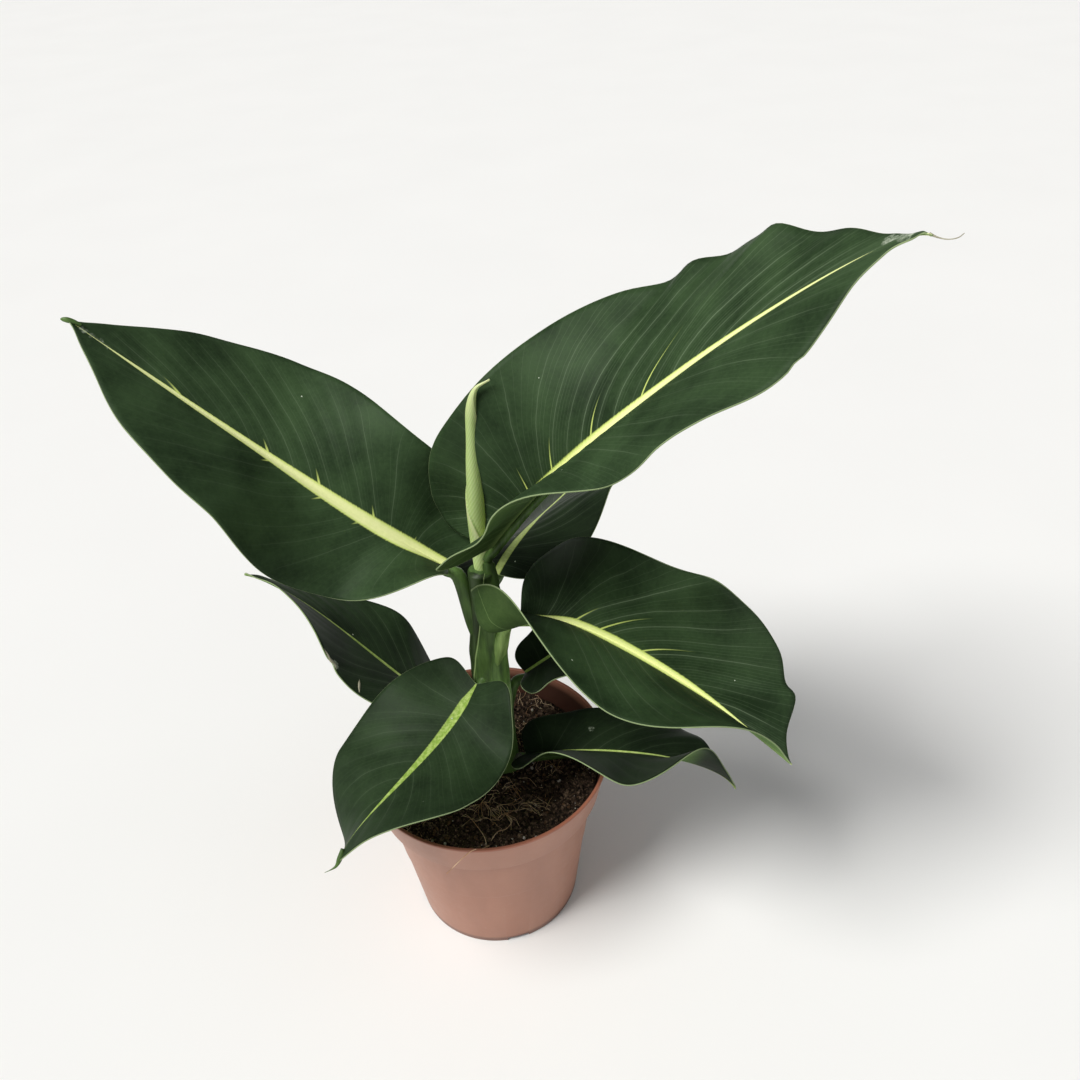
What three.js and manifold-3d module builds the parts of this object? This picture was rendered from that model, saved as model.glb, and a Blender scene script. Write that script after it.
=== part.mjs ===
// A young dieffenbachia in a nursery pot: the pot, its soil, one stem, eight leaves and a rolled new leaf.
// Millimetres, +Z up. The origin is the middle of the pot's underside, on the surface that it stands on.
// +X is to the viewer's right and +Y is away from the viewer.
import * as THREE from 'three';
import { mergeVertices } from 'three/addons/utils/BufferGeometryUtils.js';
import Module from 'manifold-3d';

const wasm = await Module();
wasm.setup();

// Driving dimensions

const CLEARANCE = 0.3;
const MERGE_WITHIN = 1e-4;

const POT = {
  height: 97,
  rim: 60,
  bandTop: 59.4,
  bandFoot: 55.6,
  bandHeight: 20,
  shoulder: 52.4,
  ringHeight: 45,
  ringStep: 0.5,
  foot: 41.5,
  wall: 1.6,
  lip: 0.6,
  sides: 44,
};

// Under the pot: a flat pad in the middle, a raised channel with drain holes round it, and a notched foot
// ring. Every cutter runs past the plastic by cutPast.
const UNDERSIDE = {
  pad: 24,
  channelInner: 26,
  channelOuter: 35,
  footInner: 36.5,
  rise: 3,
  drains: 8,
  drainRadius: 3.2,
  drainSides: 14,
  notches: 4,
  notchWidth: 11,
  notchHeight: 2.4,
  notchHeading: -77,
  cutPast: 2,
};

// The soil heaps up a little towards the stem. Its lumps are ripples, each as [height, turn per mm along X,
// turn per mm along Y, turn at the start], the turns in radians.
const SOIL = {
  surface: 84.5,
  heap: 3,
  ripples: [
    [0.38, 0.31, 0.27, 0.9],
    [0.38, 0.31, -0.27, 1.7],
    [0.45, 0.53, 0.41, 0],
    [0.38, 0.22, -0.63, 3.6],
  ],
  rings: [10, 19, 28, 37, 45],
};

// The stem's axis stands a little to the right of the pot's.
const STEM = {
  x: 6.5,
  foot: 62,
  top: 208,
  footRadius: 7.6,
  topRadius: 5.6,
  nodeSwell: 0.6,
  nodeReach: 3.5,
  sheathFold: 0.35,
  sheathFolds: 3,
  sheathTurn: 30,
  sides: 14,
  steps: 16,
};

// The dry foot of an old petiole, low on the stem.
const STUB = { heading: -25, foot: 80, top: 95, reach: 10.5, footRadius: 3.6, topRadius: 2.4, sides: 8 };

// The newest leaf, still rolled up, stands behind the stem's top. Its axis: [to the right, height].
const NEW_LEAF = {
  axis: [[0, 196], [1, 246], [2.5, 282], [5, 293], [11, 297]],
  back: 3,
  radii: [2.9, 3.9, 2.3, 0.4],
  radiusStations: [0, 0.4, 0.82, 1],
  turns: 1.6,
  rolledEdge: 0.16,
  sides: 12,
  steps: 16,
};

const BLADE = { thickness: 0.8, ribStart: 2.6, ribEnd: 0.5, ribLength: 0.82 };

// A petiole starts inside the stem, hugs it for a share of its climb, then turns out to the blade.
const PETIOLE = { sink: 2, hug: 0.5, hugShare: 0.3, turn: 8, ribPoints: 7, sides: 6, steps: 14 };

// The blade's outline: how round the base is, the shape and end of its lobes, and how the side veins
// leave the midrib. The stations are shares of the midrib's length.
const OUTLINE = { round: 0.85, lobeShape: 1.2, lobeEnd: 0.45, veinSpread: 0.4, veinArch: 1.6 };
const LIFT_STATIONS = [0, 0.2, 0.55, 1];
const ROLL_STATIONS = [0, 0.5, 1];

// One entry for each leaf, from the lowest to the highest on the stem. Lengths are in mm, angles in degrees.
// heading: the way the leaf points, from +X towards +Y.
// rib: the midrib as a Bezier curve, each point as [reach from the stem's axis, height].
// sideways: the tip's shift to the right. point: how drawn out the tip is.
// roll: at base, middle and tip, raising the right half.
// Each half has its width from midrib to margin, the lobe by which its base runs back past the petiole,
// its lift (how steeply it rises from the midrib at the base, a fifth, the middle and the tip), its curl
// (how much further the margin bends up) and waves, each as [place along the margin, height, spread]. A cup
// hollows a half out between midrib and margin: [place, depth, spread].
// petiole: [height where it leaves the stem, radius there]. grid: steps along the blade and across a half.
const LEAVES = {
  leaf_low_right: {
    heading: -12,
    rib: [[13, 96], [60, 108.5], [106, 109], [115, 94.5]],
    sideways: 8,
    point: 3.1,
    roll: [4, 5, 30],
    left: { width: 30, lobe: 9, lift: [26, 16, 6, 3], curl: -11, waves: [[0.7, 4.5, 0.055]] },
    right: {
      width: 35,
      lobe: 9,
      lift: [25, 44, 23, 42],
      curl: -11,
      waves: [[0.4, 1.5, 0.08], [0.7, 8, 0.06]],
    },
    petiole: [88, 3],
    grid: [18, 4],
  },
  leaf_low_left: {
    heading: 150,
    rib: [[6, 104], [69, 123], [92, 168], [127, 177]],
    sideways: -16,
    point: 2.4,
    roll: [-28, 3, -29],
    left: { width: 35.5, lobe: 18, lift: [20, 23, 31, 23], curl: -10, waves: [[0.5, -2, 0.08]] },
    right: { width: 34, lobe: 16.5, lift: [4, -17, -8, -1], curl: -15, waves: [[0.48, 5.5, 0.075]] },
    petiole: [96, 3],
    grid: [18, 4],
  },
  leaf_small_back: {
    heading: 32,
    rib: [[18.5, 138], [46, 143], [72, 151], [96, 139]],
    sideways: 1,
    point: 2.4,
    roll: [6, 2, 0],
    left: { width: 24, lobe: 3, lift: [24, 9, 10, 10], curl: -11, waves: [] },
    right: { width: 27.5, lobe: 15, lift: [30, 17, 10, 10], curl: -10, waves: [[0.24, -7.5, 0.077]] },
    petiole: [98, 2.6],
    grid: [16, 4],
  },
  leaf_front_left: {
    heading: -132,
    rib: [[10, 149], [51, 121], [87, 137], [105, 123]],
    sideways: -6.5,
    point: 2.7,
    roll: [-12, 2, -20],
    left: { width: 39, lobe: 14, lift: [13, -1, 24, 20], curl: -19, waves: [[0.29, -3, 0.08]] },
    right: { width: 40, lobe: 12, lift: [18, 22, -2, -43], curl: -10, waves: [[0.3, 3.5, 0.08]] },
    petiole: [132, 3.2],
    grid: [18, 5],
  },
  leaf_middle_right: {
    heading: -31,
    rib: [[18.5, 190], [51, 203], [99, 185.5], [143, 161]],
    sideways: 4.5,
    point: 2.6,
    roll: [19, -32, 18],
    left: {
      width: 45.5,
      lobe: 11,
      lift: [47, 60, 42, 34],
      curl: 6,
      waves: [[0.52, 8, 0.04], [0.7, 2.5, 0.04], [0.78, 8.5, 0.035]],
    },
    right: {
      width: 44.5,
      lobe: 20,
      lift: [42, 36, 50, 45],
      curl: -4,
      waves: [[0.5, -1, 0.04], [0.6, -1, 0.04]],
      cups: [[0.19, 16, 0.11]],
    },
    petiole: [150, 4],
    grid: [22, 5],
  },
  leaf_back: {
    heading: 65.5,
    rib: [[14, 196], [44, 205.5], [87, 184], [125, 183]],
    sideways: 0,
    point: 2.4,
    roll: [5, 28, 12],
    left: { width: 39.5, lobe: 12, lift: [-2, -14, -14, -14], curl: -15, waves: [] },
    right: { width: 39, lobe: 2, lift: [-8, -6, 10, 16], curl: -13, waves: [] },
    petiole: [162, 3.8],
    grid: [18, 4],
  },
  leaf_upper_left: {
    heading: 173,
    rib: [[15, 210.5], [62, 243.5], [104.5, 287], [146, 327.5]],
    sideways: -4,
    point: 2.6,
    roll: [11, 34, 13],
    left: {
      width: 45,
      lobe: 6,
      lift: [36, -22, 32, -3],
      curl: -9,
      waves: [[0.2, 4, 0.1], [0.64, 2, 0.05]],
    },
    right: {
      width: 45.5,
      lobe: 20,
      lift: [30, 48, -1, 5],
      curl: -5,
      waves: [[0.3, 3.5, 0.08], [0.6, -5.5, 0.08]],
    },
    petiole: [165, 4],
    grid: [24, 5],
  },
  leaf_upper_right: {
    heading: -17,
    rib: [[6, 221], [46, 284], [145, 370], [157, 371]],
    sideways: 26,
    point: 3.4,
    roll: [-36, -19, 1],
    left: {
      width: 51,
      lobe: 23,
      lift: [32, 55, 17, 18],
      curl: -5,
      waves: [
        [0.275, 10.5, 0.09],
        [0.53, -5.5, 0.03],
        [0.595, -4.5, 0.03],
        [0.676, 5.5, 0.025],
        [0.77, 2, 0.035],
      ],
    },
    right: {
      width: 50.5,
      lobe: 19,
      lift: [64, 48, 21, -17],
      curl: -18,
      waves: [[0.16, 7, 0.1], [0.37, 5, 0.06], [0.457, -5, 0.045], [0.676, -8.5, 0.08]],
    },
    petiole: [190, 3.6],
    grid: [26, 5],
  },
};

const COLOURS = {
  pot: ['#a9765f', 0.45],
  soil: ['#2b211a', 0.95],
  stem: ['#6f8f57', 0.5],
  newLeaf: ['#9dbb6e', 0.45],
  blade: ['#2e4a35', 0.4],
};

// Small helpers

const Z = new THREE.Vector3(0, 0, 1);
const radians = THREE.MathUtils.degToRad;
const { clamp, lerp, smoothstep } = THREE.MathUtils;

/** A smooth curve through the values, each at its own station along 0 to 1. */
function blend(values, stations, along) {
  const u = clamp(along, 0, 1);
  let k = 0;
  while (k < stations.length - 2 && u > stations[k + 1]) {
    k += 1;
  }
  return lerp(values[k], values[k + 1], smoothstep(u, stations[k], stations[k + 1]));
}

/** The solid inside a closed geometry. */
function toSolid(geometry) {
  const bare = geometry.clone();
  bare.deleteAttribute('normal');
  bare.deleteAttribute('uv');
  const merged = mergeVertices(bare, MERGE_WITHIN);
  return new wasm.Manifold(new wasm.Mesh({
    numProp: 3,
    vertProperties: merged.attributes.position.array,
    triVerts: Uint32Array.from(merged.index.array),
  }));
}

/** A geometry with the solid's faces. */
function toGeometry(solid) {
  const mesh = solid.getMesh();
  const geometry = new THREE.BufferGeometry();
  geometry.setAttribute('position', new THREE.BufferAttribute(mesh.vertProperties, 3));
  geometry.setIndex(new THREE.BufferAttribute(mesh.triVerts, 1));
  geometry.computeVertexNormals();
  return geometry;
}

/** A solid of revolution about Z from a profile of [radius, height] points. */
function turned(profile, sides) {
  const points = profile.map(([radius, height]) => new THREE.Vector2(radius, height));
  return new THREE.LatheGeometry(points, sides).rotateX(Math.PI / 2);
}

/** A closed tube along a curve, its radius given at each place along it and round it. */
function tube(curve, radiusAt, sides, steps) {
  const frames = curve.computeFrenetFrames(steps, false);
  const geometry = new THREE.CylinderGeometry(1, 1, 1, sides, steps);
  const { position } = geometry.attributes;
  const corner = new THREE.Vector3();
  for (let i = 0; i < position.count; i += 1) {
    const step = Math.round((position.getY(i) + 0.5) * steps);
    const place = curve.getPointAt(step / steps);
    const radius = radiusAt(step / steps, Math.atan2(position.getX(i), position.getZ(i)));
    corner.copy(place)
      .addScaledVector(frames.binormals[step], position.getX(i) * radius)
      .addScaledVector(frames.normals[step], position.getZ(i) * radius);
    position.setXYZ(i, corner.x, corner.y, corner.z);
  }
  return geometry;
}

function finishedMesh(name, geometry, [colour, roughness]) {
  const material = new THREE.MeshStandardMaterial({ color: colour, roughness, metalness: 0 });
  const mesh = new THREE.Mesh(geometry, material);
  mesh.name = name;
  return mesh;
}

// The pot

/** The outer wall's radius at a height, below the band. */
function bodyRadius(height) {
  return lerp(POT.foot, POT.shoulder, height / (POT.height - POT.bandHeight));
}

/** The pot's outline: outside from the middle of the underside up to the rim, then down inside. */
function potProfile() {
  const bandFoot = POT.height - POT.bandHeight;
  const { pad, channelInner, channelOuter, footInner, rise } = UNDERSIDE;
  const { wall, lip, ringHeight, ringStep } = POT;
  const outside = [
    [0, 0],
    [pad, 0],
    [channelInner, rise],
    [channelOuter, rise],
    [footInner, 0],
    [POT.foot - lip, 0],
    [POT.foot, lip],
    [bodyRadius(ringHeight) - ringStep, ringHeight],
    [bodyRadius(ringHeight), ringHeight + ringStep],
    [POT.shoulder, bandFoot],
    [POT.bandFoot - lip, bandFoot],
    [POT.bandFoot, bandFoot + lip],
    [POT.bandTop, POT.height - 3 * lip],
    [POT.rim, POT.height - 2 * lip],
    [POT.rim - lip / 2, POT.height - lip / 4],
    [POT.rim - lip, POT.height],
  ];
  return outside.concat([[POT.rim - wall, POT.height]], cavityProfile(0).reverse());
}

/** The inside of the pot from the middle of its floor up to the band, drawn in by a gap. */
function cavityProfile(gap) {
  const bandFoot = POT.height - POT.bandHeight;
  const { pad, channelInner, channelOuter, footInner, rise } = UNDERSIDE;
  const thick = POT.wall;
  const floor = thick + gap;
  return [
    [0, floor],
    [pad - gap, floor],
    [channelInner - gap, rise + floor],
    [channelOuter + gap, rise + floor],
    [footInner + gap, floor],
    [POT.foot - thick - gap, floor],
    [bodyRadius(bandFoot) - thick - gap, bandFoot + thick + gap],
    [POT.bandFoot - thick - gap, bandFoot + 2 * thick + gap],
  ];
}

/** Copies of a cutter at equal turns round Z. */
function ringOf(cutter, count, firstHeading) {
  const copies = [];
  for (let k = 0; k < count; k += 1) {
    copies.push(cutter.rotate([0, 0, firstHeading + (360 / count) * k]));
  }
  return copies;
}

function potSolid() {
  const { channelInner, channelOuter, footInner, drainRadius, drainSides } = UNDERSIDE;
  const { rise, notchWidth, notchHeight, cutPast } = UNDERSIDE;
  const drainLength = POT.wall + 2 * cutPast;
  const drain = new THREE.CylinderGeometry(drainRadius, drainRadius, drainLength, drainSides);
  drain.rotateX(Math.PI / 2).translate((channelInner + channelOuter) / 2, 0, rise + POT.wall / 2);
  const notchDepth = POT.foot - footInner + 2 * cutPast;
  const notch = new THREE.BoxGeometry(notchDepth, notchWidth, 2 * notchHeight);
  notch.translate((POT.foot + footInner) / 2, 0, 0);
  const holes = ringOf(toSolid(drain), UNDERSIDE.drains, 0);
  const notches = ringOf(toSolid(notch), UNDERSIDE.notches, UNDERSIDE.notchHeading);
  const body = toSolid(turned(potProfile(), POT.sides));
  return [...holes, ...notches].reduce((left, cutter) => left.subtract(cutter), body);
}

// The soil

/** Height of the soil's lumpy top above a point. */
function soilTop(x, y) {
  const edge = POT.bandFoot - POT.wall;
  let height = SOIL.surface + SOIL.heap * (1 - Math.hypot(x, y) / edge);
  for (const [size, alongX, alongY, start] of SOIL.ripples) {
    height += size * Math.sin(alongX * x + alongY * y + start);
  }
  return height;
}

function soilSolid(stem) {
  const wall = cavityProfile(CLEARANCE);
  const [bandRadius, bandFloor] = wall.at(-1);
  const slope = (POT.bandTop - POT.bandFoot) / POT.bandHeight;
  const edge = [bandRadius + slope * (SOIL.surface - bandFloor), SOIL.surface];
  const rings = SOIL.rings.map((radius) => [radius, SOIL.surface]).reverse();
  const geometry = turned([...wall, edge, ...rings, [0, SOIL.surface]], POT.sides);
  const { position } = geometry.attributes;
  for (let i = 0; i < position.count; i += 1) {
    if (position.getZ(i) > SOIL.surface - CLEARANCE) {
      position.setZ(i, soilTop(position.getX(i), position.getY(i)));
    }
  }
  return toSolid(geometry).subtract(stem);
}

// The stem

/** The stem's outline at a place up it and round it: swollen at each leaf, folded where sheaths lap. */
function stemRadius(up, round, gap) {
  const height = lerp(STEM.foot, STEM.top, up);
  let radius = lerp(STEM.footRadius, STEM.topRadius, up) + gap;
  for (const { petiole: [leaves] } of Object.values(LEAVES)) {
    radius += STEM.nodeSwell * Math.exp(-(((height - leaves) / STEM.nodeReach) ** 2));
  }
  return radius + STEM.sheathFold * Math.cos(STEM.sheathFolds * round + height / STEM.sheathTurn);
}

function stemSolid(gap) {
  const foot = new THREE.Vector3(0, 0, STEM.foot - gap);
  const top = new THREE.Vector3(0, 0, STEM.top + gap);
  const axis = new THREE.LineCurve3(foot, top);
  const cane = toSolid(tube(axis, (up, round) => stemRadius(up, round, gap), STEM.sides, STEM.steps));
  const stubFoot = new THREE.Vector3(0, 0, STUB.foot);
  const stubTop = new THREE.Vector3(STUB.reach + gap, 0, STUB.top + gap);
  const stubAxis = new THREE.LineCurve3(stubFoot, stubTop.applyAxisAngle(Z, radians(STUB.heading)));
  const stubRadius = (up) => lerp(STUB.footRadius, STUB.topRadius, up) + gap;
  return cane.add(toSolid(tube(stubAxis, stubRadius, STUB.sides, 1)));
}

// The rolled new leaf

function newLeafSolid(gap) {
  const places = NEW_LEAF.axis.map(([right, height]) => new THREE.Vector3(right, NEW_LEAF.back, height));
  places[0].z -= gap;
  places.at(-1).z += gap;
  const axis = new THREE.CatmullRomCurve3(places);
  const radiusAt = (up, round) => {
    const swell = blend(NEW_LEAF.radii, NEW_LEAF.radiusStations, up);
    const lap = round / (2 * Math.PI) + 0.5 + NEW_LEAF.turns * up;
    return swell * (1 + NEW_LEAF.rolledEdge * (lap - Math.floor(lap) - 0.5)) + gap;
  };
  return toSolid(tube(axis, radiusAt, NEW_LEAF.sides, NEW_LEAF.steps));
}

// The leaves

/** A leaf in its own frame: the stem's axis is Z, and the leaf points along +X with its left half at +Y. */
class Leaf {
  constructor(dims) {
    this.dims = dims;
    const sideways = [0, 0, -dims.sideways / 3, -dims.sideways];
    const points = dims.rib.map(([reach, height], k) => new THREE.Vector3(reach, sideways[k], height));
    this.rib = new THREE.CubicBezierCurve3(...points);
    this.length = this.rib.getLength();
  }

  /** The midrib's place, direction, sideways direction (to the right) and upward direction. */
  frame(distance) {
    const along = clamp(distance / this.length, 0, 1);
    const forward = this.rib.getTangentAt(along);
    const place = this.rib.getPointAt(along).addScaledVector(forward, Math.min(distance, 0));
    const level = new THREE.Vector3().crossVectors(forward, Z).normalize();
    const up = new THREE.Vector3().crossVectors(level, forward);
    const roll = radians(blend(this.dims.roll, ROLL_STATIONS, along));
    const right = level.clone().multiplyScalar(Math.cos(roll)).addScaledVector(up, Math.sin(roll));
    up.multiplyScalar(Math.cos(roll)).addScaledVector(level, -Math.sin(roll));
    return { place, forward, right, up };
  }

  /** A point of the blade: row 0 to 1 from base to tip, across -1 to 1 from left margin to right. */
  point(row, across) {
    const { width, lobe, lift, curl, waves, cups = [] } = across < 0 ? this.dims.left : this.dims.right;
    const out = Math.abs(across);
    const taper = lerp(OUTLINE.round, this.dims.point, smoothstep(row, 0, 1));
    const margin = width * Math.sin(Math.PI * row) ** taper;
    const runBack = lobe * Math.sin(Math.PI * Math.min(row / OUTLINE.lobeEnd, 1)) ** OUTLINE.lobeShape;
    const marginAlong = (this.length * (1 - Math.cos(Math.PI * row))) / 2 - runBack;
    const veinRoot = this.length * lerp(row * row, row, OUTLINE.veinSpread);
    const along = veinRoot + (marginAlong - veinRoot) * out ** OUTLINE.veinArch;
    const reach = margin * out;

    // Each cross-section is an arc that leaves the midrib at the lift angle and bends by the curl.
    const angle = radians(blend(lift, LIFT_STATIONS, along / this.length));
    const bend = radians(curl) * (reach / width);
    const radius = width / radians(curl);
    let x = (Math.sin(angle + bend) - Math.sin(angle)) * radius;
    let z = (Math.cos(angle) - Math.cos(angle + bend)) * radius;
    for (const [place, height, spread] of waves) {
      z += height * Math.exp(-(((row - place) / spread) ** 2)) * out * out;
    }
    for (const [place, depth, spread] of cups) {
      const sag = depth * Math.exp(-(((row - place) / spread) ** 2)) * Math.sin(Math.PI * out * out);
      x += sag * Math.sin(angle + bend);
      z -= sag * Math.cos(angle + bend);
    }
    for (const [place, depth, spread] of cups) {
      const sag = depth * Math.exp(-(((row - place) / spread) ** 2)) * Math.sin(Math.PI * out * out);
      x += sag * Math.sin(angle + bend);
      z -= sag * Math.cos(angle + bend);
    }
    for (const [place, depth, spread] of cups) {
      const sag = depth * Math.exp(-(((row - place) / spread) ** 2)) * Math.sin(Math.PI * out * out);
      x += sag * Math.sin(angle + bend);
      z -= sag * Math.cos(angle + bend);
    }
    for (const [place, depth, spread] of cups) {
      const sag = depth * Math.exp(-(((row - place) / spread) ** 2)) * Math.sin(Math.PI * out * out);
      x += sag * Math.sin(angle + bend);
      z -= sag * Math.cos(angle + bend);
    }
    const { place, right, up } = this.frame(along);
    return place.addScaledVector(right, Math.sign(across) * x).addScaledVector(up, z);
  }

  /** The blade as a closed sheet, split into triangles alike on both faces. */
  blade(thickness) {
    const [rows, half] = this.dims.grid;
    const columns = 2 * half;
    const points = [this.point(0, 0)];
    for (let i = 1; i < rows; i += 1) {
      for (let j = 0; j <= columns; j += 1) {
        points.push(this.point(i / rows, (j - half) / half));
      }
    }
    points.push(this.point(1, 0));
    const tip = points.length - 1;
    const at = (i, j) => 1 + (i - 1) * (columns + 1) + j;
    const faces = [];
    for (let j = 0; j < columns; j += 1) {
      faces.push([0, at(1, j + 1), at(1, j)]);
      for (let i = 1; i < rows - 1; i += 1) {
        const [a, b, c, d] = [at(i, j), at(i, j + 1), at(i + 1, j + 1), at(i + 1, j)];
        if (j < half) {
          faces.push([a, b, d], [b, c, d]);
        } else {
          faces.push([a, b, c], [a, c, d]);
        }
      }
      faces.push([at(rows - 1, j), at(rows - 1, j + 1), tip]);
    }
    const margin = [0];
    for (let i = 1; i < rows; i += 1) {
      margin.push(at(i, columns));
    }
    margin.push(tip);
    for (let i = rows - 1; i > 0; i -= 1) {
      margin.push(at(i, 0));
    }
    return sheet(points, faces, margin, thickness);
  }

  /** The petiole from the stem to the blade, running on under the midrib as a tapering rib. */
  stalk() {
    const [leaves, footRadius] = this.dims.petiole;
    const root = this.frame(0);
    const hugging = (root.place.z - leaves) * PETIOLE.hugShare;
    const route = [
      new THREE.Vector3(STEM.topRadius - footRadius, 0, leaves - PETIOLE.sink),
      new THREE.Vector3(STEM.topRadius - PETIOLE.hug, 0, leaves + hugging),
    ];
    const bend = root.place.clone().addScaledVector(root.forward, -Math.min(hugging, PETIOLE.turn));
    route.push(bend.addScaledVector(root.up, -BLADE.ribStart));
    for (let k = 0; k <= PETIOLE.ribPoints; k += 1) {
      const along = (BLADE.ribLength * k) / PETIOLE.ribPoints;
      const { place, up } = this.frame(along * this.length);
      route.push(place.addScaledVector(up, -lerp(BLADE.ribStart, BLADE.ribEnd, along / BLADE.ribLength)));
    }
    const curve = new THREE.CatmullRomCurve3(route);
    const stalkShare = 1 - (this.length * BLADE.ribLength) / curve.getLength();
    const radiusAt = (along) => (along < stalkShare
      ? lerp(footRadius, BLADE.ribStart, along / stalkShare)
      : lerp(BLADE.ribStart, BLADE.ribEnd, (along - stalkShare) / (1 - stalkShare)));
    return tube(curve, radiusAt, PETIOLE.sides, PETIOLE.steps);
  }

  solid(neighbours) {
    const whole = toSolid(this.blade(BLADE.thickness)).add(toSolid(this.stalk()));
    const turnBack = [0, 0, -this.dims.heading];
    return neighbours.reduce((left, other) => left.subtract(other.rotate(turnBack)), whole);
  }
}

/** A closed sheet of even thickness round a surface of points and faces inside a margin loop. */
function sheet(points, faces, margin, thickness) {
  const surface = new THREE.BufferGeometry().setFromPoints(points);
  surface.setIndex(faces.flat());
  surface.computeVertexNormals();
  const normals = surface.attributes.normal;
  const offset = (side) => points.map((place, i) => place.clone()
    .addScaledVector(new THREE.Vector3().fromBufferAttribute(normals, i), (side * thickness) / 2));
  const under = points.length;
  const walls = margin.flatMap((a, k) => {
    const b = margin[(k + 1) % margin.length];
    return [[a, a + under, b + under], [a, b + under, b]];
  });
  const back = faces.map(([a, b, c]) => [a + under, c + under, b + under]);
  const geometry = new THREE.BufferGeometry().setFromPoints([...offset(1), ...offset(-1)]);
  geometry.setIndex([...faces, ...back, ...walls].flat());
  return geometry;
}

// The plant in its pot

const plant = new THREE.Group();
plant.position.x = STEM.x;

const stemRoom = stemSolid(CLEARANCE);
const newLeafRoom = newLeafSolid(CLEARANCE);
const stem = stemSolid(0).subtract(newLeafRoom);
plant.add(finishedMesh('stem', toGeometry(stem), COLOURS.stem));
plant.add(finishedMesh('new_leaf', toGeometry(newLeafSolid(0)), COLOURS.newLeaf));

for (const [name, dims] of Object.entries(LEAVES)) {
  const leaf = new Leaf(dims);
  const mesh = finishedMesh(name, toGeometry(leaf.solid([stemRoom, newLeafRoom])), COLOURS.blade);
  mesh.rotation.z = radians(dims.heading);
  plant.add(mesh);
}

const pottedPlant = new THREE.Group();
pottedPlant.add(finishedMesh('pot', toGeometry(potSolid()), COLOURS.pot));
const soil = soilSolid(stemRoom.translate([STEM.x, 0, 0]));
pottedPlant.add(finishedMesh('soil', toGeometry(soil), COLOURS.soil));
pottedPlant.add(plant);

export default pottedPlant;
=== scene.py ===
"""Looks of a young dieffenbachia in its nursery pot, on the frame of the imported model.

Sizes in the tables are in mm, as the plant is measured. Meshes are made in metres.
"""

import math
from functools import partial

import bpy
import numpy as np
from bpy.props import FloatProperty, FloatVectorProperty, IntProperty, PointerProperty, StringProperty
from mathutils import Matrix, Vector, noise


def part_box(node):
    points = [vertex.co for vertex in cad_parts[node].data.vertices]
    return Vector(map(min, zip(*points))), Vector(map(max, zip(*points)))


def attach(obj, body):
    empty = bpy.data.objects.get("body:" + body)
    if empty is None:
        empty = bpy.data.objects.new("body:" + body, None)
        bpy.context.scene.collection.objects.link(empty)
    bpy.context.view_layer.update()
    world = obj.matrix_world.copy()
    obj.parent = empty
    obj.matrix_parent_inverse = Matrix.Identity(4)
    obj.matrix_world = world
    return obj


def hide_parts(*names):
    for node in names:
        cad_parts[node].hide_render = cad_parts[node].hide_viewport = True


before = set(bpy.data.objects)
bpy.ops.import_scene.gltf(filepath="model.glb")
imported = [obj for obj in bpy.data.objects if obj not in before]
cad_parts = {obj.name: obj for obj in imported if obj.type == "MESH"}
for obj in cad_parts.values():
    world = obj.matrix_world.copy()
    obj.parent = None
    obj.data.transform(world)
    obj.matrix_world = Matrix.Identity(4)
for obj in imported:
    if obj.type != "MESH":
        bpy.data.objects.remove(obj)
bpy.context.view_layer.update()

bl_info = {
    "name": "Potted dieffenbachia",
    "version": (1, 0, 0),
    "blender": (4, 5, 0),
    "location": "3D View > Sidebar > Plant",
    "description": "Makes a young dieffenbachia in a plastic nursery pot, with soil, stem and leaves",
    "category": "Add Mesh",
}

MM = 0.001
POT_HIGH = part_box("pot")[1]
STEM_X = 6.5
UP = np.array([0.0, 0.0, 1.0])

# The pot, as moulded. Radii and heights are in mm. The lip is the rounding at its edges.
POT = {
    "band_top": 59.4,
    "band_foot": 55.6,
    "shoulder": 52.4,
    "ring_height": 45.0,
    "ring_step": 0.5,
    "foot": 41.5,
    "lip": 0.6,
}
# The pot's edges stay crisp where they turn by more degrees than this.
SHARP_OVER = 35.0
# The middle of the underside and the foot ring stand on the floor, with a channel with drain holes between.
# The foot ring has notches. What cuts them and the holes goes past the plastic by a little.
UNDERSIDE = {
    "pad": 24.0,
    "channel_inner": 26.0,
    "channel_outer": 35.0,
    "foot_inner": 36.5,
    "rise": 3.0,
    "drain_radius": 3.2,
    "notch_width": 11.0,
    "notch_height": 2.4,
    "notch_heading": -77.0,
    "cut_past": 2.0,
}

# The soil's top is a low heap with lumps and a fine crumble, and keeps a gap from the pot.
# ripples: its lumps, each (height, turn per mm along X, turn per mm along Y, turn at the start).
# crumble: its height, its turns for each mm, and how it grows finer; it fades over the last mm at the wall.
# bare_rings: the rings without crumbs in the middle, where the stem stands, and at the wall.
SOIL = {
    "rings": 74,
    "sides": 200,
    "gap": 0.3,
    "shoulder_gap": 0.5,
    "heap": 3.0,
    "heap_edge": 54.0,
    "ripples": [
        (0.38, 0.31, 0.27, 0.9),
        (0.38, 0.31, -0.27, 1.7),
        (0.45, 0.53, 0.41, 0.0),
        (0.38, 0.22, -0.63, 3.6),
    ],
    "crumble": 0.9,
    "crumble_turns": 0.45,
    "crumble_finer": (0.9, 2.1, 4),
    "crumble_fades": 2.0,
    "crumble_left": 0.2,
    "bare_rings": (12, 2),
}
# What lies on the soil, each: its material's name, its share of the crumb density, smallest and largest
# size in mm, height as a share of the width, dark and light colour.
CRUMBS = {
    "soil_crumbs": ("Peat crumbs", 1.0, 0.35, 1.5, 0.7, "#1d140f", "#8f7763"),
    "soil_bark": ("Bark crumbs", 0.06, 0.6, 2.1, 0.4, "#2d1e15", "#8a6a4c"),
    "soil_specks": ("Pumice specks", 0.045, 0.3, 1.2, 0.8, "#b0a79c", "#e2dcd2"),
}
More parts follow.
